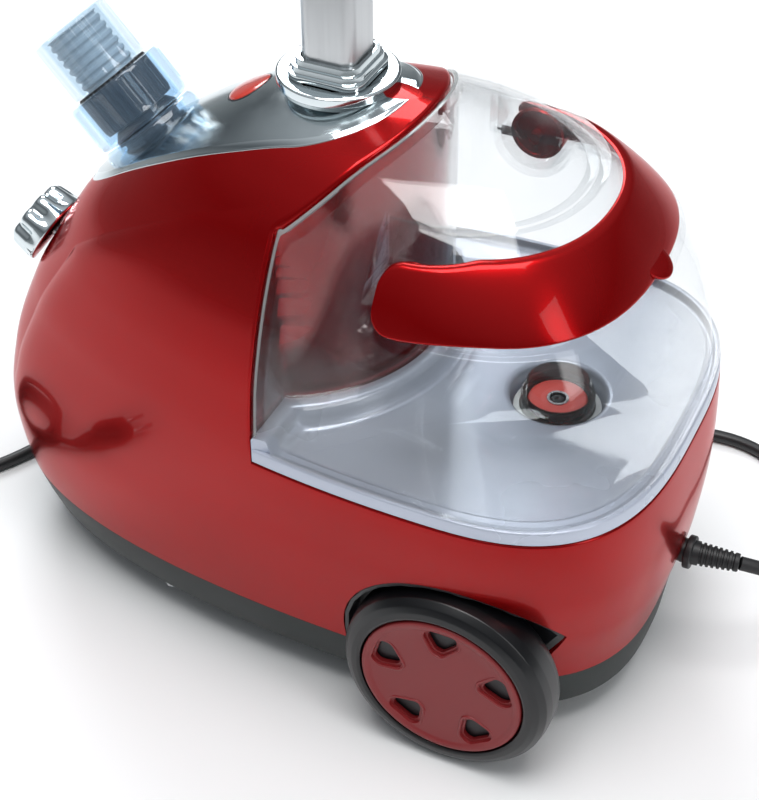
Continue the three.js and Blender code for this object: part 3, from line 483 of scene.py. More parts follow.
def make_plug():
    """A moulded two-pin plug that lies on the floor, with a ribbed tail to the cord."""
    body = []
    for y, wide, tall in ((-17, 12.5, 6.6), (-16.4, 13.2, 7.4), (-15, 13.6, 7.8), (-9, 15, 8.0), (0, 17, 8.3),
                          (6, 15.8, 8.2), (12, 12, 7.6), (15.6, 8.4, 6.6), (16.8, 6.6, 5.8)):
        shape = outline_rounded(-wide, -tall, wide, tall, min(wide, tall) * 0.62)
        body.append(np.stack([shape[:, 0], np.full(len(shape), y), shape[:, 1]], 1))
    tail = [(0.01, 14.0), (5.9, 14.0)]
    for y in np.arange(17.4, 33, 2.6):
        thin = 5.9 - (y - 17.4) * 0.07
        tail += [(thin, y), (thin - 1.0, y + 0.25), (thin - 1.0, y + 0.95), (thin - 0.1, y + 1.2)]
    tail += [(4.6, 33.6), (3.6, 34.0), (0.01, 34.0)]
    to_y = spun(-90, "X")
    pin_shape = turned_soft([(0.01, -19), (2.4, -19), (2.4, -1), (1.5, 0), (0.01, 0)], 0.5, 24)
    pins = [placed(pin_shape, moved(x, -36, 0) @ spun(90, "X")) for x in (-9.5, 9.5)]
    lift = moved(PLUG_X, PLUG_Y, PLUG_Z)
    grip = placed(merged([loops_to_mesh(body), placed(turned(tail, 40), to_y)]), lift)
    made = add_piece("plug_body", *grip, RUBBER, "base", ["mains_plug"], slot="black_plastic")
    blades = add_piece("plug_pins", *placed(merged(pins), lift), CHROME, "base", ["mains_plug"],
                       slot="black_plastic", sharp=35)
    return [made, blades]


def make_relief():
    """The flange, collar and ribbed taper where the cord comes out of the tail."""
    start, end = Vector((188, 12, 68)), Vector((210, 15.5, 66.8))
    along = end - start
    turn = along.to_track_quat("Z", "Y").to_matrix().to_4x4()
    span = along.length
    taper = [(0.01, -6), (6.1, -6), (6.2, 0)]
    steps = 7
    for k in range(steps):
        s = 1.6 + (span - 4) * k / steps
        r = 6.2 - 1.6 * s / span
        taper += [(r, s), (r, s + 1.2), (r - 1.0, s + 1.5), (r - 1.0, s + 2.3)]
    taper += [(4.7, span - 2.2), (4.6, span - 0.4), (4.2, span), (0.01, span)]
    sleeve = placed(turned(taper, 40), moved(*start) @ turn)
    collar = turned_soft([(0.01, 0), (8.4, 0), (8.4, 3.6), (0.01, 3.6)], 0.8, 48)
    collar = placed(collar, moved(184.6, 11.6, 68) @ spun(90, "Y"))
    flange = placed(cylinder(5.8, 0, 7, 32), moved(178.6, 11.4, 68) @ spun(90, "Y"))
    return add_piece("cord_relief", *merged([sleeve, collar, flange]), RUBBER, "base", ["strain_relief"])


cord_piece = make_cord()
cord_ends = make_plug()
relief = make_relief()
tie_ring = turned_soft([(11.6, -2), (12.4, -2), (12.4, 2), (11.6, 2), (11.6, -2)], 0.2, 48)
tie_place = moved(COIL_X, COIL_Y + 38.4, 10.9) @ spun(90, "Y") @ Matrix.Diagonal((0.83, 1, 1, 1))
cord_tie = add_piece("cord_tie", *placed(tie_ring, tie_place), BLACK, "base", ["cord_coil"],
                     slot="black_rubber", sharp=35)

# ---- the body's outer skin ----

# Height, nose x, tail x, half width, x of the widest point, and the powers of the two half ovals.
STATIONS = np.array([
    [18, -170, 174, 84, 61, 2.4, 2.7], [43, -181, 177, 89, 63, 2.4, 2.7], [80, -186, 184, 96, 71, 2.3, 2.8],
    [110, -181, 186, 101, 78, 2.15, 2.9], [153, -164, 183, 106, 86, 2, 3], [185, -144, 177, 104, 86, 2, 2.9],
    [210, -127, 171, 98, 83, 2, 2.7], [235, -101, 160, 88, 76, 2, 2.5], [255, -76, 145, 75.5, 66, 2, 2.3],
    [270, -52, 127, 61.5, 56, 2, 2.2], [282, -28, 104, 45, 46, 2, 2.1], [290, -4, 76, 22, 36, 2, 2],
    [293, 18, 46, 7, 32, 2, 2]], float)
TOP_Z, PAN_Z, STRIP_Z, DECK_Z = 293.0, 18.0, 43.0, 150.0
WHEEL_X, WHEEL_R, ARCH_R, ARCH_BACK = 106.0, 52.0, 57.4, 78.0
WALL_X, BULGE, BULGE_HALF = 9.0, 44.0, 68.0


def steady_slopes():
    z, values = STATIONS[:, 0], STATIONS[:, 1:]
    gap = np.diff(z)[:, None]
    rise = np.diff(values, axis=0) / gap
    out = np.zeros_like(values)
    out[0], out[-1] = rise[0], rise[-1]
    before, after = 2 * gap[1:] + gap[:-1], gap[1:] + 2 * gap[:-1]
    same = rise[:-1] * rise[1:] > 0
    first, second = np.where(same, rise[:-1], 1), np.where(same, rise[1:], 1)
    out[1:-1] = np.where(same, (before + after) / (before / first + after / second), 0)
    return out


SLOPES = steady_slopes()


def section(z):
    z = np.clip(np.atleast_1d(np.asarray(z, float)), STATIONS[0, 0], TOP_Z)
    i = np.clip(np.searchsorted(STATIONS[:, 0], z) - 1, 0, len(STATIONS) - 2)
    span = (STATIONS[i + 1, 0] - STATIONS[i, 0])[:, None]
    t = (z - STATIONS[i, 0])[:, None] / span
    p, q = STATIONS[i, 1:], STATIONS[i + 1, 1:]
    m, n = SLOPES[i] * span, SLOPES[i + 1] * span
    return ((2 * t**3 - 3 * t**2 + 1) * p + (t**3 - 2 * t**2 + t) * m + (3 * t**2 - 2 * t**3) * q
            + (t**3 - t**2) * n)


def oval(z, inset=0.0):
    """Rows of widest x, reach to the nose, reach to the tail, half width and both powers, at height z."""
    z = np.atleast_1d(np.asarray(z, float))
    source = z.copy()
    across = np.zeros_like(z)
    for _ in range(8 if inset else 1):
        high, low = np.minimum(source + 0.5, TOP_Z), source - 0.5
        slope = (section(high)[:, 2] - section(low)[:, 2]) / (high - np.maximum(low, PAN_Z))
        across = inset / np.hypot(1, slope)
        source = np.clip(z - slope * across, PAN_Z, TOP_Z)
    s = section(source)
    return np.stack([s[:, 3], np.maximum(s[:, 3] - s[:, 0] - across, 0.5),
                     np.maximum(s[:, 1] - s[:, 3] - across, 0.5), np.maximum(s[:, 2] - across, 0.5),
                     s[:, 4], s[:, 5]], 1)


def half_at(x, z, inset=0.0):
    """Half width of the skin at x and height z, or 0 beyond its ends."""
    o = oval(z, inset)
    x = np.atleast_1d(np.asarray(x, float))
    front = x < o[:, 0]
    reach, power = np.where(front, o[:, 1], o[:, 2]), np.where(front, o[:, 4], o[:, 5])
    u = np.minimum(np.abs(x - o[:, 0]) / reach, 1)
    return o[:, 3] * (1 - u**power) ** (1 / power)


def top_at(x, y, inset=0.0):
    """Height of the skin above (x, y)."""
    x, y = np.broadcast_arrays(np.atleast_1d(np.asarray(x, float)), np.atleast_1d(np.asarray(y, float)))
    low, high = np.full(x.shape, 110.0), np.full(x.shape, TOP_Z - 0.01)
    for _ in range(34):
        middle = (low + high) / 2
        inside = np.abs(y) < half_at(x, middle, inset)
        low, high = np.where(inside, middle, low), np.where(inside, high, middle)
    return low


def on_oval(o, angle):
    """Points of one oval row at angles from the nose; positive angles are on the +Y side."""
    c, s = -np.cos(angle), np.sin(angle)
    power = np.where(c < 0, o[4], o[5])
    k = (np.abs(c) ** power + np.abs(s) ** power) ** (-1 / power)
    return o[0] + np.where(c < 0, o[1], o[2]) * c * k, o[3] * s * k


def angle_on(o, x, y):
    u = (x - o[0]) / np.where(x < o[0], o[1], o[2])
    return math.atan2(abs(y) / o[3], -u)


def skin_angle(x, z, inset=0.0):
    """The angle from the nose at which the skin's row at height z passes x."""
    return angle_on(oval(z, inset)[0], x, half_at(x, z, inset)[0])


def wall_x(y):
    """Where the curved wall stands at y, bulging towards the tail in the middle."""
    return WALL_X + BULGE * np.maximum(0, 1 - (np.asarray(y, float) / BULGE_HALF) ** 2) ** 0.75


def wall_line(offset):
    """The curved wall between body and tank, in plan, moved towards the tank by offset."""
    foot = np.linspace(66.1, 69, 16)
    y = np.sort(np.concatenate([np.linspace(-66, 66, 121), foot, -foot, [-72, 72]]))
    slope = (wall_x(y + 0.3) - wall_x(y - 0.3)) / 0.6
    scale = offset / np.hypot(1, slope)
    line = np.stack([wall_x(y) + scale, y - slope * scale], 1)
    keep = []
    for i, (x, yy) in enumerate(line):
        ahead, behind = line[i + 1:], line[:i]
        folded = ((ahead[:, 1] <= yy + 1e-6) & (ahead[:, 0] > x - 0.001)).any() or (
            (behind[:, 1] >= yy - 1e-6) & (behind[:, 0] > x - 0.001)).any()
        if not folded:
            keep.append((x, yy))
    return np.array(keep)


def resample(line, count):
    line = np.asarray(line, float)
    steps = np.linalg.norm(np.diff(line, axis=0), axis=1)
    along = np.concatenate([[0], np.cumsum(steps)])
    at = np.linspace(0, along[-1], count)
    return np.stack([np.interp(at, along, line[:, k]) for k in range(line.shape[1])], 1)


def at_height(line, z):
    return np.interp(z, line[:, 2], line[:, 0]), np.interp(z, line[:, 2], line[:, 1])


def rim_curve(offset, low, inset=0.0, count=400):
    """Where the wall meets the skin, from the left side at height low over the top to the right side."""
    line = wall_line(offset)
    top = np.column_stack([line, top_at(line[:, 0], line[:, 1], inset)])
    x_side = WALL_X + offset
    z = np.linspace(low, top[0, 2] - 0.5, 90)
    y = half_at(np.full_like(z, x_side), z, inset)
    left = np.column_stack([np.full_like(z, x_side), -y, z])
    right = left[::-1] * [1, -1, 1]
    return resample(np.concatenate([left, top, right]), count)


def edge_frames(offset, low, radius, fade, inset=0.0, count=400):
    """The rim with a soft edge: points on the skin, on the sharp corner and on the wall."""
    corner = rim_curve(offset, low, inset, count)
    forward = rim_curve(offset - math.copysign(radius, fade[2]), low, inset, count * 3)
    tangent = unit(np.gradient(corner, axis=0))
    slope = (wall_x(corner[:, 1] + 0.3) - wall_x(corner[:, 1] - 0.3)) / 0.6
    slope = np.where(np.abs(corner[:, 1]) > 71.5, 0, slope)
    normal = unit(np.stack([np.ones_like(slope), -slope, np.zeros_like(slope)], 1))
    down = np.cross(tangent, normal)
    down *= np.where(down[:, 2] > 0, -1, 1)[:, None]
    share = smooth_step(corner[:, 2], fade[0], fade[1])[:, None]
    near = forward[[int(np.argmin(((forward - p) ** 2).sum(1))) for p in corner]]
    on_skin = corner + (near - corner) * share
    on_wall = corner + down * radius * share
    return on_skin, corner, on_wall


def bead(on_skin, corner, on_wall, depth=1.2, steps=8):
    """A closed strip that rounds the corner between the skin and the wall."""
    loops = []
    for a, c, w in zip(on_skin, corner, on_wall):
        middle = (a + w) / 2
        inner = middle + (middle - c) / max(np.linalg.norm(middle - c), 1e-6) * depth
        loops.append(np.array([*bend(a, c, w, steps), inner]))
    return loops_to_mesh(loops)


# ---- red body ----

CREASE_SHARE = np.array([[18, 0.42], [100, 0.40], [150, 0.40], [197, 0.44], [226, 0.605], [244, 0.72],
                         [257, 0.84], [268, 0.93], [293, 0.95]])
CREASE_SWELL, CREASE_LENGTH = 1.9, 15.0
EDGE_R, TAIL_ROUND = 1.8, 1.2


def creased_row(z, end_angle, band=60, side=64):
    """Skin points at height z from the left end round the nose to the right end, swollen past the crease."""
    o = oval(z)[0]
    share = np.interp(z, CREASE_SHARE[:, 0], CREASE_SHARE[:, 1])
    lateral = (1 - share**o[4]) ** (1 / o[4])
    crease = min(math.atan2(share, lateral), end_angle * 0.97)
    spread = np.linspace(0, 1, side + 1)[1:]
    outer = crease + (end_angle - crease) * (0.55 * spread + 0.45 * spread**2)
    angles = np.concatenate([-outer[::-1], np.linspace(-crease, crease, 2 * band + 1), outer])
    x, y = on_oval(o, angles)
    tangent = unit(np.stack([np.gradient(x), np.gradient(y)], 1))
    outward = np.stack([-tangent[:, 1], tangent[:, 0]], 1)
    steps = np.concatenate([[0], np.cumsum(np.hypot(np.diff(x), np.diff(y)))])
    left, right = side, side + 2 * band
    past = np.where(np.arange(len(x)) < left, steps[left] - steps,
                    np.where(np.arange(len(x)) > right, steps - steps[right], 0)) / CREASE_LENGTH
    swell = CREASE_SWELL * smooth_step(z, 60, 110) * (1 - smooth_step(z, 222, 266)) * past * np.exp(1 - past)
    return level(x + outward[:, 0] * swell, y + outward[:, 1] * swell, z)


def front_body():
    on_skin, corner, on_wall = edge_frames(0, STRIP_Z, EDGE_R, (DECK_Z, 162, 1))
    half = len(corner) // 2
    a, w = on_skin[:half], on_wall[:half]
    top_a, top_w = on_skin[half], on_wall[half]
    heights = np.concatenate([np.linspace(STRIP_Z, DECK_Z, 34), resample(a[a[:, 2] > DECK_Z + 1], 120)[:, 2],
                              np.linspace(top_a[2] + 0.02, TOP_Z, 10)])
    heights = np.unique(np.round(np.clip(heights, STRIP_Z, TOP_Z), 4))
    loops = []
    walls = 48
    for z in heights:
        o = oval(z)[0]
        if z < top_a[2]:
            end = angle_on(o, *at_height(a, z))
        else:
            end = math.pi
        skin_row = creased_row(z, end)
        if z < top_w[2]:
            spread = -at_height(w, z)[1] * np.sin(np.linspace(math.pi / 2, -math.pi / 2, walls))
            wall = level(wall_x(spread), spread, z)
        else:
            tip = min(top_w[0], skin_row[0, 0] if end < math.pi else skin_row[0, 0] - 0.1)
            wall = np.repeat([[tip - 0.01, 0, z]], walls, 0)
        loops.append(np.concatenate([skin_row, wall]))
    return merged([loops_to_mesh(loops), bead(on_skin, corner, on_wall)])


def tail_loop(z, inset=0.0):
    """The skin behind the wall's foot at height z, closed straight across."""
    start = skin_angle(WALL_X, z)
    x, y = on_oval(oval(z, inset)[0], np.linspace(start, 2 * math.pi - start, 240))
    return level(np.maximum(x, WALL_X), y, z)


def side_cutters(x, z, hole, box, reach, count):
    """On both sides, a cylinder across the body at (x, z) and a block beside it, out to |y| = reach.

    The hole is (radius, |y| it starts at), and the box is (x0, x1, |y| it starts at, z0, z1).
    """
    made = []
    radius, hole_from = hole
    x0, x1, box_from, z0, z1 = box
    for side in (-1, 1):
        tool = placed(cylinder(radius, hole_from, reach, count), moved(x, 0, z) @ spun(90 * -side, "X"))
        made.append(cutter(tool))
        y0, y1 = sorted((side * box_from, side * reach))
        made.append(cutter(block(x0, x1, y0, y1, z0, z1)))
    return made


def arch_cutters():
    box = (WHEEL_X - ARCH_R, WHEEL_X + ARCH_R, ARCH_BACK, 0, WHEEL_R)
    return side_cutters(WHEEL_X, WHEEL_R, (ARCH_R, ARCH_BACK), box, 130, 128)


def tail_body():
    loops = [tail_loop(z) for z in np.linspace(STRIP_Z, DECK_Z - TAIL_ROUND, 46)]
    for k in range(1, 6):
        turn = k / 5 * math.pi / 2
        loops.append(tail_loop(DECK_Z - TAIL_ROUND + TAIL_ROUND * math.sin(turn),
                               TAIL_ROUND * (1 - math.cos(turn))))
    return loops_to_mesh(loops)


add_piece("body_front", *front_body(), RED, "base", ["body_shell"], sharp=32)
body_tail = add_piece("body_tail", *tail_body(), RED, None, sharp=32)
carve(body_tail, arch_cutters())


def base_strip():
    """The dark band under the body, as (height, inset) rows from the floor side up."""
    rows = [(PAN_Z, 2.2), (PAN_Z + 0.7, 0.8), (PAN_Z + 2.4, 0.1), (30, 0), (STRIP_Z - 1.0, 0),
            (STRIP_Z - 0.4, 0.25), (STRIP_Z - 0.12, 0.9), (STRIP_Z - 0.1, 4)]
    loops = []
    for z, inset in rows:
        x, y = on_oval(oval(z)[0], np.linspace(0, 2 * math.pi, 321)[:-1])
        tx, ty = np.gradient(x), np.gradient(y)
        size = np.hypot(tx, ty)
        loops.append(level(x + ty / size * inset, y - tx / size * inset, z))
    return loops_to_mesh(loops)


strip = add_piece("base_strip", *base_strip(), DARK, None)
CASTER_X, CASTER_Y = -114.0, 37.0
cups = [cutter(placed(cylinder(21, 0, 31, 64), moved(CASTER_X, y, 0))) for y in (-CASTER_Y, CASTER_Y)]
carve(strip, arch_cutters() + cups)
dress(strip, DARK, "base", ["base_pan"], sharp=32)

# ---- tank tray ----

VALVE_X = 117.0
ARC_COUNT, WALL_COUNT = 260, 90


def wall_row(offset, foot, z):
    """The curved wall at height z, from -y to +y, with its straight foot run out to the skin."""
    line = wall_line(offset)
    line = np.concatenate([[[WALL_X + offset, -foot + 0.02]], line[np.abs(line[:, 1]) < foot - 0.5],
                           [[WALL_X + offset, foot - 0.02]]])
    return np.column_stack([resample(line, WALL_COUNT), np.full(WALL_COUNT, z)])


def plan_loop(inset, arc_z, offset, wall_z):
    """Tail side of the skin, then back along the curved wall, each at a height of its own."""
    start = skin_angle(WALL_X + offset, arc_z, inset)
    x, y = on_oval(oval(arc_z, inset)[0], np.linspace(start, 2 * math.pi - start, ARC_COUNT))
    return np.concatenate([level(x, y, arc_z), wall_row(offset, abs(y[0]), wall_z)])


def circle_loop(like, radius, z):
    """A circle round the valve whose points lie in the directions of another loop's points."""
    angle = np.arctan2(like[:, 1], like[:, 0] - VALVE_X)
    return level(VALVE_X + radius * np.cos(angle), radius * np.sin(angle), z)


def circle_loops(like, rows):
    return [circle_loop(like, radius, z) for radius, z in rows]


def tray():
    """The under side from the well out, the raised rim, the floor, and down into the well."""
    rows = [(0.6, 150.4, 0.7, 150.4), (0.05, 151.0, 0.6, 151.0), (0.0, 156.8, 0.6, 163.2),
            (0.3, 157.3, 0.8, 163.8), (0.9, 157.6, 1.4, 164.0), (1.9, 157.6, 5.6, 164.0),
            (2.5, 157.3, 6.8, 163.5), (2.8, 156.6, 7.6, 162.4), (2.9, 155.0, 8.8, 158.5),
            (3.3, 153.9, 9.6, 155.8), (4.0, 153.4, 10.6, 154.2), (5.4, 153.3, 12.2, 153.4)]
    loops = [plan_loop(*row) for row in rows]
    under = circle_loops(loops[0], [(8, 124.4), (24.4, 124.4), (25.1, 125.2), (25.1, 149.9)])
    floor = loops[-1]
    well = circle_loops(floor, [(25.5, 153.3), (24.2, 153.2), (23.2, 152.6), (22.6, 151.4), (22.5, 149.0),
                                (22.3, 136.0), (20.0, 129.5), (15.0, 127.3), (4.0, 127.0)])
    spread = [floor + (well[0] - floor) * t for t in (0.05, 0.3, 0.6, 0.85)]
    return loops_to_mesh(under + loops + spread + well)


add_piece("tray", *tray(), SILVER, "base", ["tank_tray"])
carve(body_tail, [cutter(placed(cylinder(25.4, 120, 170, 64), moved(VALVE_X, 0, 0)))])
dress(body_tail, RED, "base", ["body_shell"], sharp=32)

# ---- water tank ----

BAND_LOW, BAND_HIGH, PIVOT_X, PIVOT_Z = 235.5, 261.5, 75.0, 244.5
RECESS_X, RECESS_DEPTH = 58.2, 3.8
TANK_EDGE, TANK_WALL = 2.4, 3.0
FRONT_COUNT, TAIL_COUNT = 24, 120


def recess_share(z):
    return smooth_step(z, 231.4, 232.6) * (1 - smooth_step(z, 267.2, 268.4))


def tank_skin_row(z, end, inset, deep):
    """Skin points from the right end round the tail to the left end, with the handle's recess."""
    o, sunk = oval(z, inset)[0], oval(z, inset + deep)[0]
    gate = [skin_angle(x, z, inset) for x in (RECESS_X - 1.0, RECESS_X + 0.6)]
    first, last = max(gate[0], end + 0.004), max(gate[1], end + 0.008)
    front = np.linspace(end, first, FRONT_COUNT)
    tail = np.linspace(last, math.pi, TAIL_COUNT)[1:]
    half = np.concatenate([front, [(first + last) / 2, last], tail])
    angles = np.concatenate([half, 2 * math.pi - half[::-1][1:]])
    x, y = on_oval(o, angles)
    sx, sy = on_oval(sunk, angles)
    share = recess_share(z) * smooth_step(x, RECESS_X - 0.9, RECESS_X + 0.7)
    return level(x + (sx - x) * share, y + (sy - y) * share, z)


def tank_surface(offset, inset, rows_low, edge):
    """A closed skin of the tank: the rows under the dome, then the dome to where it meets the wall."""
    on_skin, corner, on_wall = edge_frames(offset, 166.0, edge, (160, 165, -1), inset)
    half = len(corner) // 2
    a, w = on_skin[:half], on_wall[:half]
    top_a, top_w = on_skin[half], on_wall[half]
    heights = np.concatenate([a[:, 2][::5], np.linspace(230.6, 233.4, 9), np.linspace(266.4, 269.4, 9)])
    heights = np.unique(np.round(heights[(heights > 166.2) & (heights < top_a[2] - 0.05)], 3))
    loops = []
    for z, low_inset, low_offset in rows_low:
        skin_row = tank_skin_row(z, skin_angle(WALL_X + low_offset, z, low_inset), low_inset, 0)
        loops.append(np.concatenate([skin_row, wall_row(low_offset, abs(skin_row[0, 1]), z)]))
    line = wall_line(offset)
    for z in heights:
        skin_row = tank_skin_row(z, angle_on(oval(z, inset)[0], *at_height(a, z)), inset, RECESS_DEPTH)
        if z < top_w[2]:
            wx, wy = at_height(w * [1, -1, 1], z)
            inner = line[np.abs(line[:, 1]) < wy - 0.05]
            wall = resample(np.concatenate([[[wx, -wy]], inner, [[wx, wy]]]), WALL_COUNT)
        else:
            wall = np.repeat([[min(top_w[0], skin_row[0, 0]) + 0.02, 0]], WALL_COUNT, 0)
        loops.append(np.concatenate([skin_row, np.column_stack([wall, np.full(WALL_COUNT, z)])]))
    loops.append(np.repeat([[top_a[0], 0, top_a[2]]], len(loops[0]), 0))
    return loops_to_mesh(loops, True, False), (on_skin, corner, on_wall)


def pocket_cutters(grow):
    """The pockets for the handle's ears, made larger by grow where the tank's hollow goes round them."""
    hole = (16.8 + grow, 63.8 - grow)
    box = (PIVOT_X - 16.8 - grow, PIVOT_X + 12.2 + grow, 58.8 - grow, PIVOT_Z + 3, 276)
    return side_cutters(PIVOT_X, PIVOT_Z, hole, box, 120, 64)


# Rows under the dome: height, inset from the skin, offset from the wall.
OUTER_LOW = [(153.9, 5.0, 12.6), (154.1, 4.0, 12.0), (154.8, 3.45, 11.4), (156.0, 3.4, 11.0),
             (157.9, 3.4, 10.9), (158.2, 3.2, 10.9), (158.3, 0.5, 10.9), (158.9, 0.05, 10.8),
             (161.0, 0, 10.7), (164.4, 0, 10.6), (164.9, 0, 10.1), (165.0, 0, 1.6), (165.6, 0, 1.0)]
INNER_LOW = [(156.9, 8.0, 15.6), (157.4, 6.8, 14.6), (158.6, 6.4, 14.0), (160.4, 4.0, 13.8),
             (162.0, 3.1, 13.7), (166.9, 3.0, 13.6), (167.7, 3.0, 12.4), (167.9, 3.0, 5.0), (168.6, 3.0, 4.2)]


def at_valve(points, radius, count=96):
    return placed(turned_soft(points, radius, count), moved(VALVE_X, 0, 0))


def water_tank():
    outer, frames = tank_surface(0.9, 0.0, OUTER_LOW, TANK_EDGE)
    inner, _ = tank_surface(4.1, TANK_WALL, INNER_LOW, 2.0)
    shell = add_piece("tank_shell", *outer, CLEAR, None)
    hollow = add_piece("tank_hollow", *inner, CLEAR, None)
    carve(shell, pocket_cutters(0.0))
    carve(hollow, pocket_cutters(2.8))
    carve(shell, [cutter(placed(cylinder(15.0, 140, 159.5, 64), moved(VALVE_X, 0, 0)))])
    for piece in (shell, hollow):
        dress(piece, CLEAR, "tank", ["water_tank"])
    edge = bead(*frames, depth=0.8)
    add_piece("tank_edge", *edge, CLEAR_EDGE, "tank", ["water_tank"], slot="clear_tank", sharp=60)
    neck = at_valve([(15, 141), (17.4, 141), (17.4, 153.6), (15, 153.6), (15, 141)], 0.5, 72)
    add_piece("tank_neck", *neck, CLEAR, "tank", ["water_tank"])


water_tank()

cap = at_valve([(5.6, 136), (20.4, 136), (20.8, 136.6), (20.8, 145.6), (17.8, 146.6), (17.7, 138.4),
                (5.6, 138.4), (5.6, 136)], 0.5)
add_piece("valve_cap", *cap, WHITE, "tank", ["tank_cap"], sharp=35)
seal = at_valve([(4.3, 147.0), (14.2, 147.0), (14.2, 149.2), (13.2, 150.0), (8, 149.4), (4.3, 149.6),
                 (4.3, 147.0)], 0.6)
add_piece("valve_seal", *seal, SEAL_RED, "tank", ["cap_seal"], sharp=35)
pin = at_valve([(0.01, 134.6), (2.9, 134.6), (3.4, 135.2), (3.4, 148.6), (2.6, 149.5), (0.9, 149.5),
                (0.8, 148.9), (0.01, 148.9)], 0.3, 48)
add_piece("valve_pin", *pin, BLACK, "plunger", ["valve_plunger"], sharp=35)

# ---- handle ----

HANDLE_FRONT, HANDLE_CORNER, HANDLE_ROUND, HANDLE_THICK = 61.8, 9.0, 1.5, 3.0
# The band's lower and upper edge at its front ends, where it is a little wider.
END_LOW, END_HIGH = 231.8, 258.4


def handle_point(angle, mid_x, side, z, inset):
    """On the skin straight out from mid_x near the ears, turning to the angle's own point at the tail."""
    ax, ay = on_oval(oval(z, inset)[0], np.array([angle]))
    weight = float(smooth_step(mid_x, 86, 122))
    sx, sy = mid_x, side * half_at(mid_x, z, inset)[0]
    return np.array([sx + (ax[0] - sx) * weight, sy + (ay[0] - sy) * weight, z])


def handle_section(low, high):
    """(inset, z) points round the band's cross-section."""
    edge = min(HANDLE_ROUND, (high - low) / 2.2)
    corners = np.array([(0, low), (0, high), (HANDLE_THICK, high), (HANDLE_THICK, low)])
    out = []
    for i, corner in enumerate(corners):
        ends = []
        for gap in (corners[i - 1] - corner, corners[(i + 1) % 4] - corner):
            reach = np.abs(gap).sum()
            ends.append(corner + gap / reach * min(edge, reach))
        out += bend(ends[0], corner, ends[1], 5)
        if i in (0, 2):
            # More points up the outer face and down the inner one.
            start, stop = ends[1][1], high - edge if i == 0 else low + edge
            out += [(corner[0], start + (stop - start) * t) for t in np.linspace(0, 1, 10)[1:-1]]
    return out


def band_edges(x):
    blend = float(smooth_step(x, 70, 110))
    return END_LOW + (BAND_LOW - END_LOW) * blend, END_HIGH + (BAND_HIGH - END_HIGH) * blend


def handle():
    """The band as sections from its left end round the tail to its right end."""
    middle = (BAND_LOW + BAND_HIGH) / 2
    o = oval(middle)[0]
    half = []
    for x in HANDLE_FRONT + np.concatenate([[0.15, 0.6, 1.3], np.linspace(2.2, 21.2, 22)]):
        corner = max(0.0, HANDLE_FRONT + HANDLE_CORNER - x)
        drop = HANDLE_CORNER - math.sqrt(max(HANDLE_CORNER**2 - corner**2, 0.0))
        low, high = band_edges(x)
        half.append((skin_angle(x, middle), x, low + drop, high - drop))
    for angle in np.linspace(skin_angle(PIVOT_X + 8, middle), math.pi, 90)[1:]:
        x = on_oval(o, np.array([angle]))[0][0]
        half.append((angle, x, *band_edges(x)))
    loops = []
    for (angle, x, low, high), side in [(c, -1) for c in half] + [(c, 1) for c in half[::-1][1:]]:
        row = [handle_point(side * angle, x, side, z, depth) for depth, z in handle_section(low, high)]
        loops.append(np.array(row))
    return loops_to_mesh(loops)


def handle_lobe(side):
    """The round ear on the pivot, from |y| 66.7 out to the skin."""
    angles = np.linspace(0, 2 * math.pi, 73)[:-1]
    loops = []
    for r, y in ((4.0, 67.4), (10.6, 67.4), (11.0, 66.7), (12.4, 66.7), (13.2, 67.6), (13.2, 67.8)):
        x, z = PIVOT_X + r * np.cos(angles), PIVOT_Z + r * np.sin(angles)
        loops.append(np.stack([x, side * np.full_like(x, y), z], 1))
    loops[-1][:, 1] = side * np.maximum(half_at(x, z) - 1.6, 67.8)
    return loops_to_mesh(loops)


def handle_tab():
    """The thumb tongue that flares out from the band's lower edge at the tail."""
    foot = BAND_LOW + 4.5
    o = oval(foot)[0]
    root = np.array([o[0] + o[2] - 2.0, 0, foot])
    out, up = np.array([0.84, 0, -0.54]), np.array([0.54, 0, 0.84])
    turn = np.linspace(-math.pi / 2, math.pi / 2, 40)
    rows = [(-1.1, 0.4), (-1.1, 9.0), (-0.8, 9.7), (0, 10.0), (0.8, 9.7), (1.15, 9.0), (1.25, 6.0),
            (1.2, 0.4)]
    loops = []
    for rise, radius in rows:
        y, s = radius * np.sin(turn), 1.05 * radius * np.cos(turn)
        loops.append(root + np.outer(y, [0, 1, 0]) + np.outer(s, out) + up * rise)
    return loops_to_mesh(loops)


band = merged([handle(), handle_lobe(-1), handle_lobe(1), handle_tab()])
add_piece("carry_handle", *band, RED, "handle", ["tank_handle"])

# ---- rear wheels ----

TYRE = [(4.5, 84.6), (12, 84.6), (12, 91), (42, 91), (43, 84), (49, 84), (51.4, 86.5), (52, 90), (52, 97.5),
        (51.2, 102.6), (48.6, 105.8), (45.6, 107.4), (42.6, 107.9), (41.2, 107.2), (41.1, 95), (9, 95),
        (9, 100), (4.5, 100), (4.5, 84.6)]
CAP = [(0.01, 103), (40.4, 103), (40.4, 106.6), (39.9, 107.6), (38.6, 107.9), (37.2, 107.5), (35.8, 106.7),
       (30, 106.4), (12, 106.1), (0.01, 106.0)]
WINDOW = [(35.2, -6.8), (34.8, 6.6), (31, 8.8), (22.2, 4.2), (20.8, 0.2), (29.6, -8.2)]


def window_shape(angle, shrink, count=6):
    """One rounded window of the hubcap, as (x, z) points round the hub."""
    middle = np.mean(WINDOW, axis=0)
    corners = [middle + arm * (1 - shrink / np.linalg.norm(arm)) for arm in np.array(WINDOW) - middle]
    shape = np.array(rounded(corners, 3.4, count, closed=True))
    c, s = math.cos(angle), math.sin(angle)
    return np.stack([shape[:, 0] * c - shape[:, 1] * s, shape[:, 0] * s + shape[:, 1] * c], 1)


def wheel_part(part, side):
    """Stands a part made round Z, outer face up, on the wheel's axle at the given side."""
    verts, faces = part
    return np.column_stack([verts[:, 0] + WHEEL_X, side * verts[:, 2], verts[:, 1] + WHEEL_R]), faces


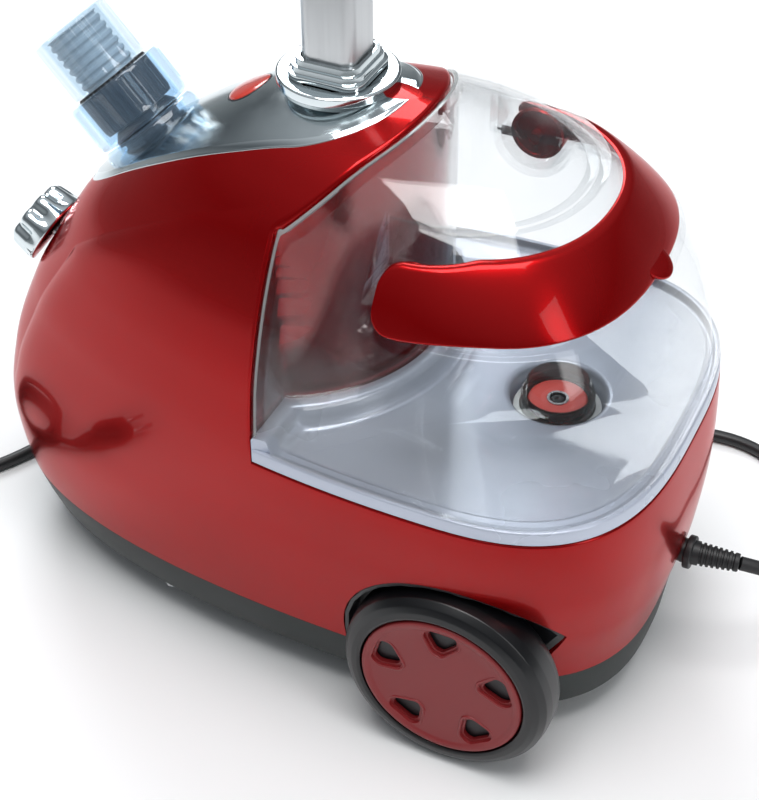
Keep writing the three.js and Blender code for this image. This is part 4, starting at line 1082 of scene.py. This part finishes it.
def wheel(side, name):
    body = "wheel_" + name
    tyre = wheel_part(turned_soft(TYRE, 0.5, 144, 3), side)
    add_piece("tyre_" + name, *tyre, WHEEL_BLACK, body, ["rear_wheel_" + name], sharp=30)
    disc = add_piece("hubcap_" + name, *turned_soft(CAP, 0.5, 144, 3), HUBCAP_RED, None)
    cutters = []
    lips = []
    for k in range(5):
        angle = math.radians(18 + 72 * k)
        # Each window is cut right through, inside a shallow sink a little wider than itself.
        for rows in (((0.9, 100), (0.9, 110)), ((-0.6, 105.1), (-1.0, 108))):
            shapes = [window_shape(angle, shrink) for shrink, _ in rows]
            rings = [level(*shape.T, z) for shape, (_, z) in zip(shapes, rows)]
            cutters.append(cutter(loops_to_mesh(rings)))
        # The lip starts beside the window's inner end and sweeps round it.
        ring = window_shape(angle, -1.9)
        farthest = int(np.argmax(np.hypot(ring[:, 0], ring[:, 1])))
        path = np.roll(ring, -farthest, axis=0)[int(len(ring) * 0.25):int(len(ring) * 0.9)]
        lips.append(lip(path))
    carve(disc, cutters)
    verts = np.array([v.co for v in disc.data.vertices]) / MM
    faces = [tuple(f.vertices) for f in disc.data.polygons]
    bpy.data.objects.remove(disc)
    made = wheel_part(merged([(verts, faces), merged(lips)]), side)
    add_piece("hubcap_" + name, *made, HUBCAP_RED, body, ["hubcap_" + name], sharp=30)
    # A dark plate behind the windows.
    plate = wheel_part(turned([(0.01, 101.8), (38, 101.8), (38, 102.4), (0.01, 102.4)], 64), side)
    add_piece("hub_plate_" + name, *plate, BLACK, body, ["rear_wheel_" + name], slot="wheel_black", sharp=30)


def lip(path):
    """A low rounded ridge along a flat path on the hubcap's face."""
    count = len(path)
    along = unit(np.gradient(path, axis=0))
    across = np.stack([along[:, 1], -along[:, 0]], 1)
    loops = []
    for k in range(count):
        size = 0.75 * math.sin(math.pi * (0.06 + 0.88 * k / (count - 1))) ** 0.5
        ring = []
        for a in np.linspace(0, 2 * math.pi, 9)[:-1]:
            xy = path[k] + across[k] * math.cos(a) * size
            ring.append((*xy, 106.25 + math.sin(a) * size * 0.9))
        loops.append(np.array(ring))
    return loops_to_mesh(loops)


wheel(-1, "left")
wheel(1, "right")

# ---- top panel, pole and its collar ----

POLE_X = 6.0


def panel_outline():
    back = [(1 + 41.5 * math.cos(a), 41.5 * math.sin(a)) for a in np.linspace(0, math.radians(88), 36)]
    side = [(-8, 41.6), (-22, 41.3), (-44, 39.4), (-68, 35.5), (-94, 28.2), (-112, 21.4), (-121, 14.6),
            (-125, 7.2), (-126, 0)]
    half = back + [tuple(p) for p in through([(*p, 0) for p in side])[:, :2]]
    return np.array(half + [(x, -y) for x, y in half[::-1][1:-1]])


def inset_outline(line, depth):
    gap = unit(np.roll(line, -1, axis=0) - np.roll(line, 1, axis=0))
    return line + np.stack([-gap[:, 1], gap[:, 0]], 1) * depth


def panel_rings(line, steps):
    loops = []
    for depth, lift in steps:
        ring = inset_outline(line, depth)
        loops.append(np.column_stack([ring, top_at(ring[:, 0], ring[:, 1], -lift)]))
    return loops


def top_panel():
    """The satin lid: a steep black-looking chrome edge with a fine bead at its foot, then the soft top."""
    line = resample(np.concatenate([panel_outline(), panel_outline()[:1]]), 301)[:-1]
    edge = panel_rings(line, [(0.4, -1.6), (0.0, -0.6), (0.0, 0.15), (0.25, 0.32), (0.6, 0.30), (0.75, 0.15),
                              (1.1, 0.35), (1.9, 0.8), (2.5, 0.95), (2.9, 0.92)])
    top = panel_rings(line, [(2.9, 0.92), (3.4, 0.88)])
    inner = inset_outline(line, 3.4)
    axis = np.column_stack([np.clip(inner[:, 0], -100, 8), np.zeros(len(inner))])
    for share in (0.08, 0.2, 0.34, 0.48, 0.62, 0.76, 0.9, 1.0):
        ring = inner + (axis - inner) * share
        top.append(np.column_stack([ring, top_at(ring[:, 0], ring[:, 1], -0.88)]))
    rim = add_piece("panel_edge", *loops_to_mesh(edge, False, False), CHROME, None)
    lid = add_piece("panel_top", *loops_to_mesh(top, False, False), SATIN, None)
    for piece, material in ((rim, CHROME), (lid, SATIN)):
        dress(piece, material, "base", ["chrome_panel"], sharp=50)


top_panel()


def square_loop(side, corner, z, count=10):
    shape = outline_rounded(-side / 2, -side / 2, side / 2, side / 2, corner, count)
    return np.column_stack([shape[:, 0] + POLE_X, shape[:, 1], np.full(len(shape), z)])


def square_tube(rows):
    """A tube of (side, corner radius, height) rows, closed on itself."""
    return loops_to_mesh([square_loop(*row) for row in rows + rows[:1]], False, False)


flange = turned_soft([(14, 290.2), (26, 290.2), (26, 292.6), (27.5, 292.8), (27.5, 296.8), (26.6, 297.4),
                      (21.4, 297.4), (20.8, 297.0), (14, 297.0), (14, 290.2)], 0.35, 128)
add_piece("pole_base", *placed(flange, moved(POLE_X, 0, 0)), CHROME, "base", ["pole_flange"])

steps = [(37, 8.4, 297.5), (37.2, 8.6, 298.0), (37.2, 8.6, 299.6), (36.8, 8.4, 300.1), (34.2, 7.8, 300.3),
         (33.9, 7.7, 300.6), (33.9, 7.7, 302.5), (33.5, 7.5, 303.0), (31.2, 7.0, 303.1), (30.9, 6.9, 303.4),
         (30.9, 6.9, 305.6), (30.4, 6.7, 306.2), (27.4, 6.2, 306.3), (26.9, 6.1, 305.8), (26.9, 6.1, 297.5)]
add_piece("pole_collar_steps", *square_tube(steps), CHROME, "base", ["pole_collar"])

POLE_TOP = 352.0
pole_rows = [(26, 6, 212), (26, 6, 300), (26, 6, POLE_TOP - 0.5), (25.6, 5.8, POLE_TOP),
             (23.6, 4.8, POLE_TOP), (23.2, 4.6, POLE_TOP - 0.4), (23.2, 4.6, 300), (23.2, 4.6, 212)]
add_piece("pole", *square_tube(pole_rows), ALUMINIUM, "base", ["pole_tube"])


LENS_X = -39


def lens_loops(rows):
    """Ovals on the panel: (share of the lens's size, lift over the skin)."""
    angles = np.linspace(0, 2 * math.pi, 73)[:-1]
    loops = []
    for share, lift in rows:
        x, y = LENS_X + 9 * share * np.cos(angles), 12 * share * np.sin(angles)
        loops.append(np.stack([x, y, top_at(x, y, -lift)], 1))
    return loops


bezel = loops_to_mesh(lens_loops([(1.06, -1.2), (1.06, 0.95), (1.02, 1.15), (0.985, 0.95)]), False, False)
add_piece("lens_bezel", *bezel, BLACK, "base", ["indicator_lens"], slot="lens_red", sharp=50)
glass = lens_loops([(0.985, 0.7), (0.97, 1.2), (0.9, 1.5), (0.7, 1.75), (0.35, 1.9), (0.02, 1.95)])
add_piece("lens", *loops_to_mesh(glass, False, True), LENS_RED, "base", ["indicator_lens"], sharp=50)

# ---- knob ----


def tilted(x, z, degrees):
    """A frame whose +Z points up and towards the nose, off the vertical by the given angle."""
    return moved(x, 0, z) @ spun(-degrees, "Y")


KNOB = tilted(-157.4, 165, 58)


def knob():
    """Nine broad scallops, shallow at the foot and deep at the top."""
    profile = rounded([(0.01, 0.7), (19.2, 0.7), (20, 1.8), (19.4, 9), (18.6, 14.6), (16.8, 16.5),
                       (13.4, 16.5), (12.8, 15.9), (0.01, 15.5)], [0, 0.8, 0.8, 2, 1.2, 1.2, 0.4, 0.4, 0])
    rows = [(r, h, 2.5 * smooth_step(h, 3.2, 8.5) * smooth_step(r, 13, 16)) for r, h in profile]
    return loops_to_mesh(fluted(rows, (0.5 + 0.5 * np.cos(9 * around(216))) ** 1.6))


add_piece("knob", *placed(knob(), KNOB), CHROME, "knob", ["steam_knob"])

# ---- steam outlet ----

NUT = tilted(-93.4, 241.7, 42)


def on_nut(part):
    return placed(part, NUT)


def ribbed_nut():
    """Clear blue nut: ten broad ribs between hollow flutes, closed top and bottom rims."""
    outer = rounded([(21.3, 5.1), (25.0, 5.1), (25.9, 7.4), (26.0, 27.6), (25.2, 29.8), (21.3, 29.9)],
                    [0, 0.7, 0.8, 0.8, 0.8, 0], 4)
    outer = outer[:8] + [np.array((26, z)) for z in np.linspace(9, 27, 14)] + outer[-10:]
    # The points go in order of height, whatever order the rounding gave them.
    rows = []
    for r, h in sorted(outer, key=lambda p: (p[1], p[0])):
        share = smooth_step(h, 9.5, 11.8) * (1 - smooth_step(h, 26.8, 28.8)) * smooth_step(r, 24, 25.5)
        rows.append((r, h, 1.25 * share))
    rows += [(21.3, 29.8, 0), (21.3, 5.1, 0), rows[0]]
    groove = np.clip((np.cos(10 * around(240)) - 0.25) / 0.75, 0, 1) ** 0.7
    return loops_to_mesh(fluted(rows, groove), False, False)


add_piece("hose_nut", *on_nut(ribbed_nut()), CLEAR_BLUE, "nut", ["hose_nut"])

seat = turned_soft([(19, -6), (26.4, -6), (26.4, 0), (25.6, 2.6), (24.3, 4.3), (19.2, 4.3), (19, -6)],
                   0.5, 128)
add_piece("nut_seat", *on_nut(seat), CLEAR_BLUE, "base", ["hose_seat"])


def ribbed_insert():
    """The black sleeve inside the nut, with fine upright ribs."""
    rows = [(14.6, 9.5, 0), (18.4, 9.5, 0), (18.6, 10.2, 0.6), (19.2, 12, 0.8), (19.3, 30, 0.8),
            (18.9, 30.9, 0.4), (14.6, 31, 0), (14.6, 9.5, 0)]
    rib = np.clip(0.5 + 0.9 * np.cos(36 * around(288)), 0, 1)
    return loops_to_mesh(fluted(rows, 1 - rib), False, False)


add_piece("nut_insert", *on_nut(ribbed_insert()), BLACK, "base", ["nut_insert"])


def ribbed_sleeve():
    rows = [(16.4, 31.4, 0), (20.2, 31.4, 0), (20.7, 32, 0), (20.7, 33.6, 0), (20.6, 34.4, 0.6),
            (20.4, 59.4, 0.6), (20.5, 60.2, 0), (20.4, 61.2, 0), (19.9, 61.6, 0), (16.8, 61.6, 0),
            (16.4, 61.2, 0), (16.4, 31.4, 0)]
    return loops_to_mesh(fluted(rows, 0.5 + 0.5 * np.cos(24 * around(288))), False, False)


add_piece("hose_sleeve", *on_nut(ribbed_sleeve()), CLEAR_SLEEVE, "base", ["hose_sleeve"])


def hose_tail():
    """The corrugated end of the steam hose, cut off level with the sleeve."""
    profile = [(9.0, 9.6), (12.2, 9.6)]
    for k in range(11):
        z = 11 + 4.4 * k
        profile += [(14.2, z + 0.4), (14.2, z + 2.2), (13.0, z + 2.8), (13.0, z + 3.9)]
    profile += [(14.2, 59.4), (13.9, 60.0), (9.4, 60.0), (9.0, 59.6), (9.0, 9.6)]
    return turned_soft(profile, 0.35, 72, 3)


add_piece("hose_tail", *on_nut(hose_tail()), HOSE_GREY, "base", ["hose_tail"])
spigot = turned_soft([(8, -6), (15.3, -6), (15.3, 2), (17.5, 2.2), (17.5, 5), (14.4, 8.8), (8.2, 8.8),
                      (8, -6)], 0.4, 96)
add_piece("steam_spigot", *on_nut(spigot), BLACK, "base", ["outlet_spigot"])

# ---- CAD nodes that are kept as they are ----

KEPT = {
    BLACK: ("arch_liner_left", "arch_liner_right", "rotary_switch", "boiler_bracket", "thermostat",
            "pole_socket"),
    STEEL: ("valve_spring", "axle_clip_left", "axle_clip_right", "base_screw_1", "base_screw_2",
            "base_screw_3", "base_screw_4", "caster_pin_left", "caster_pin_right", "rear_axle", "knob_shaft"),
    ALUMINIUM: ("boiler",),
    WHITE: ("terminal_block", "water_pump"),
    SILICONE: ("feed_hose", "boiler_hose", "steam_tube"),
    RED: ("handle_pin_left", "handle_pin_right"),
    DARK: ("caster_fork_left", "caster_fork_right"),
    WHEEL_BLACK: ("caster_wheel_left", "caster_wheel_right"),
    LENS_RED: ("indicator_lamp",),
}
for material, names in KEPT.items():
    for name in names:
        NODES[name].data.materials.clear()
        NODES[name].data.materials.append(material)

# ---- stage ----

FLOOR = 4.0


def pale_floor():
    made, tree, shader = new_material("floor_paper")
    paper = tinted(tree, noise(tree, 3.0).outputs[0], (0.86, 0.86, 0.86), (0.88, 0.88, 0.88))
    tree.links.new(paper, shader.inputs["Base Color"])
    shader.inputs["Roughness"].default_value = 0.7
    mesh = bpy.data.meshes.new("floor")
    corners = [(-FLOOR, -FLOOR, 0), (FLOOR, -FLOOR, 0), (FLOOR, FLOOR, 0), (-FLOOR, FLOOR, 0)]
    mesh.from_pydata(corners, [], [(0, 1, 2, 3)])
    floor = linked("floor", mesh)
    mesh.materials.append(made)


def area_light(name, place, aim, size, power, color=(1, 1, 1)):
    data = bpy.data.lights.new(name, "AREA")
    data.shape = "RECTANGLE"
    data.size, data.size_y = size
    data.energy = power
    data.color = color
    made = linked(name, data)
    made.location = place
    made.rotation_mode = "QUATERNION"
    made.rotation_quaternion = (Vector(aim) - Vector(place)).to_track_quat("-Z", "Y")


def surround():
    world = bpy.data.worlds.new("studio")
    bpy.context.scene.world = world
    world.use_nodes = True
    tree = world.node_tree
    tree.nodes.clear()
    out = tree.nodes.new("ShaderNodeOutputWorld")
    shine = tree.nodes.new("ShaderNodeBackground")
    where = tree.nodes.new("ShaderNodeTexCoord")
    split = tree.nodes.new("ShaderNodeSeparateXYZ")
    ramp = tree.nodes.new("ShaderNodeValToRGB")
    ramp.color_ramp.elements[0].position = 0.0
    ramp.color_ramp.elements[0].color = (0.30, 0.32, 0.33, 1)
    ramp.color_ramp.elements[1].position = 1.0
    ramp.color_ramp.elements[1].color = (0.62, 0.65, 0.68, 1)
    wall = ramp.color_ramp.elements.new(0.36)
    wall.color = (0.10, 0.11, 0.12, 1)
    tree.links.new(where.outputs["Generated"], split.inputs[0])
    tree.links.new(split.outputs["Z"], ramp.inputs[0])
    tree.links.new(ramp.outputs[0], shine.inputs[0])
    shine.inputs[1].default_value = 1.0
    tree.links.new(shine.outputs[0], out.inputs[0])


pale_floor()
surround()
area_light("window", (-1.2, 1.6, 1.9), (0, 0, 0.15), (1.2, 1.2), 34, (0.95, 0.98, 1))
area_light("ceiling", (0.2, -0.3, 2.2), (0, 0, 0.1), (1.5, 1.1), 36)
area_light("side", (1.9, -0.6, 1.2), (0, 0, 0.1), (0.5, 1.4), 7)
bpy.context.scene.view_settings.view_transform = "Standard"
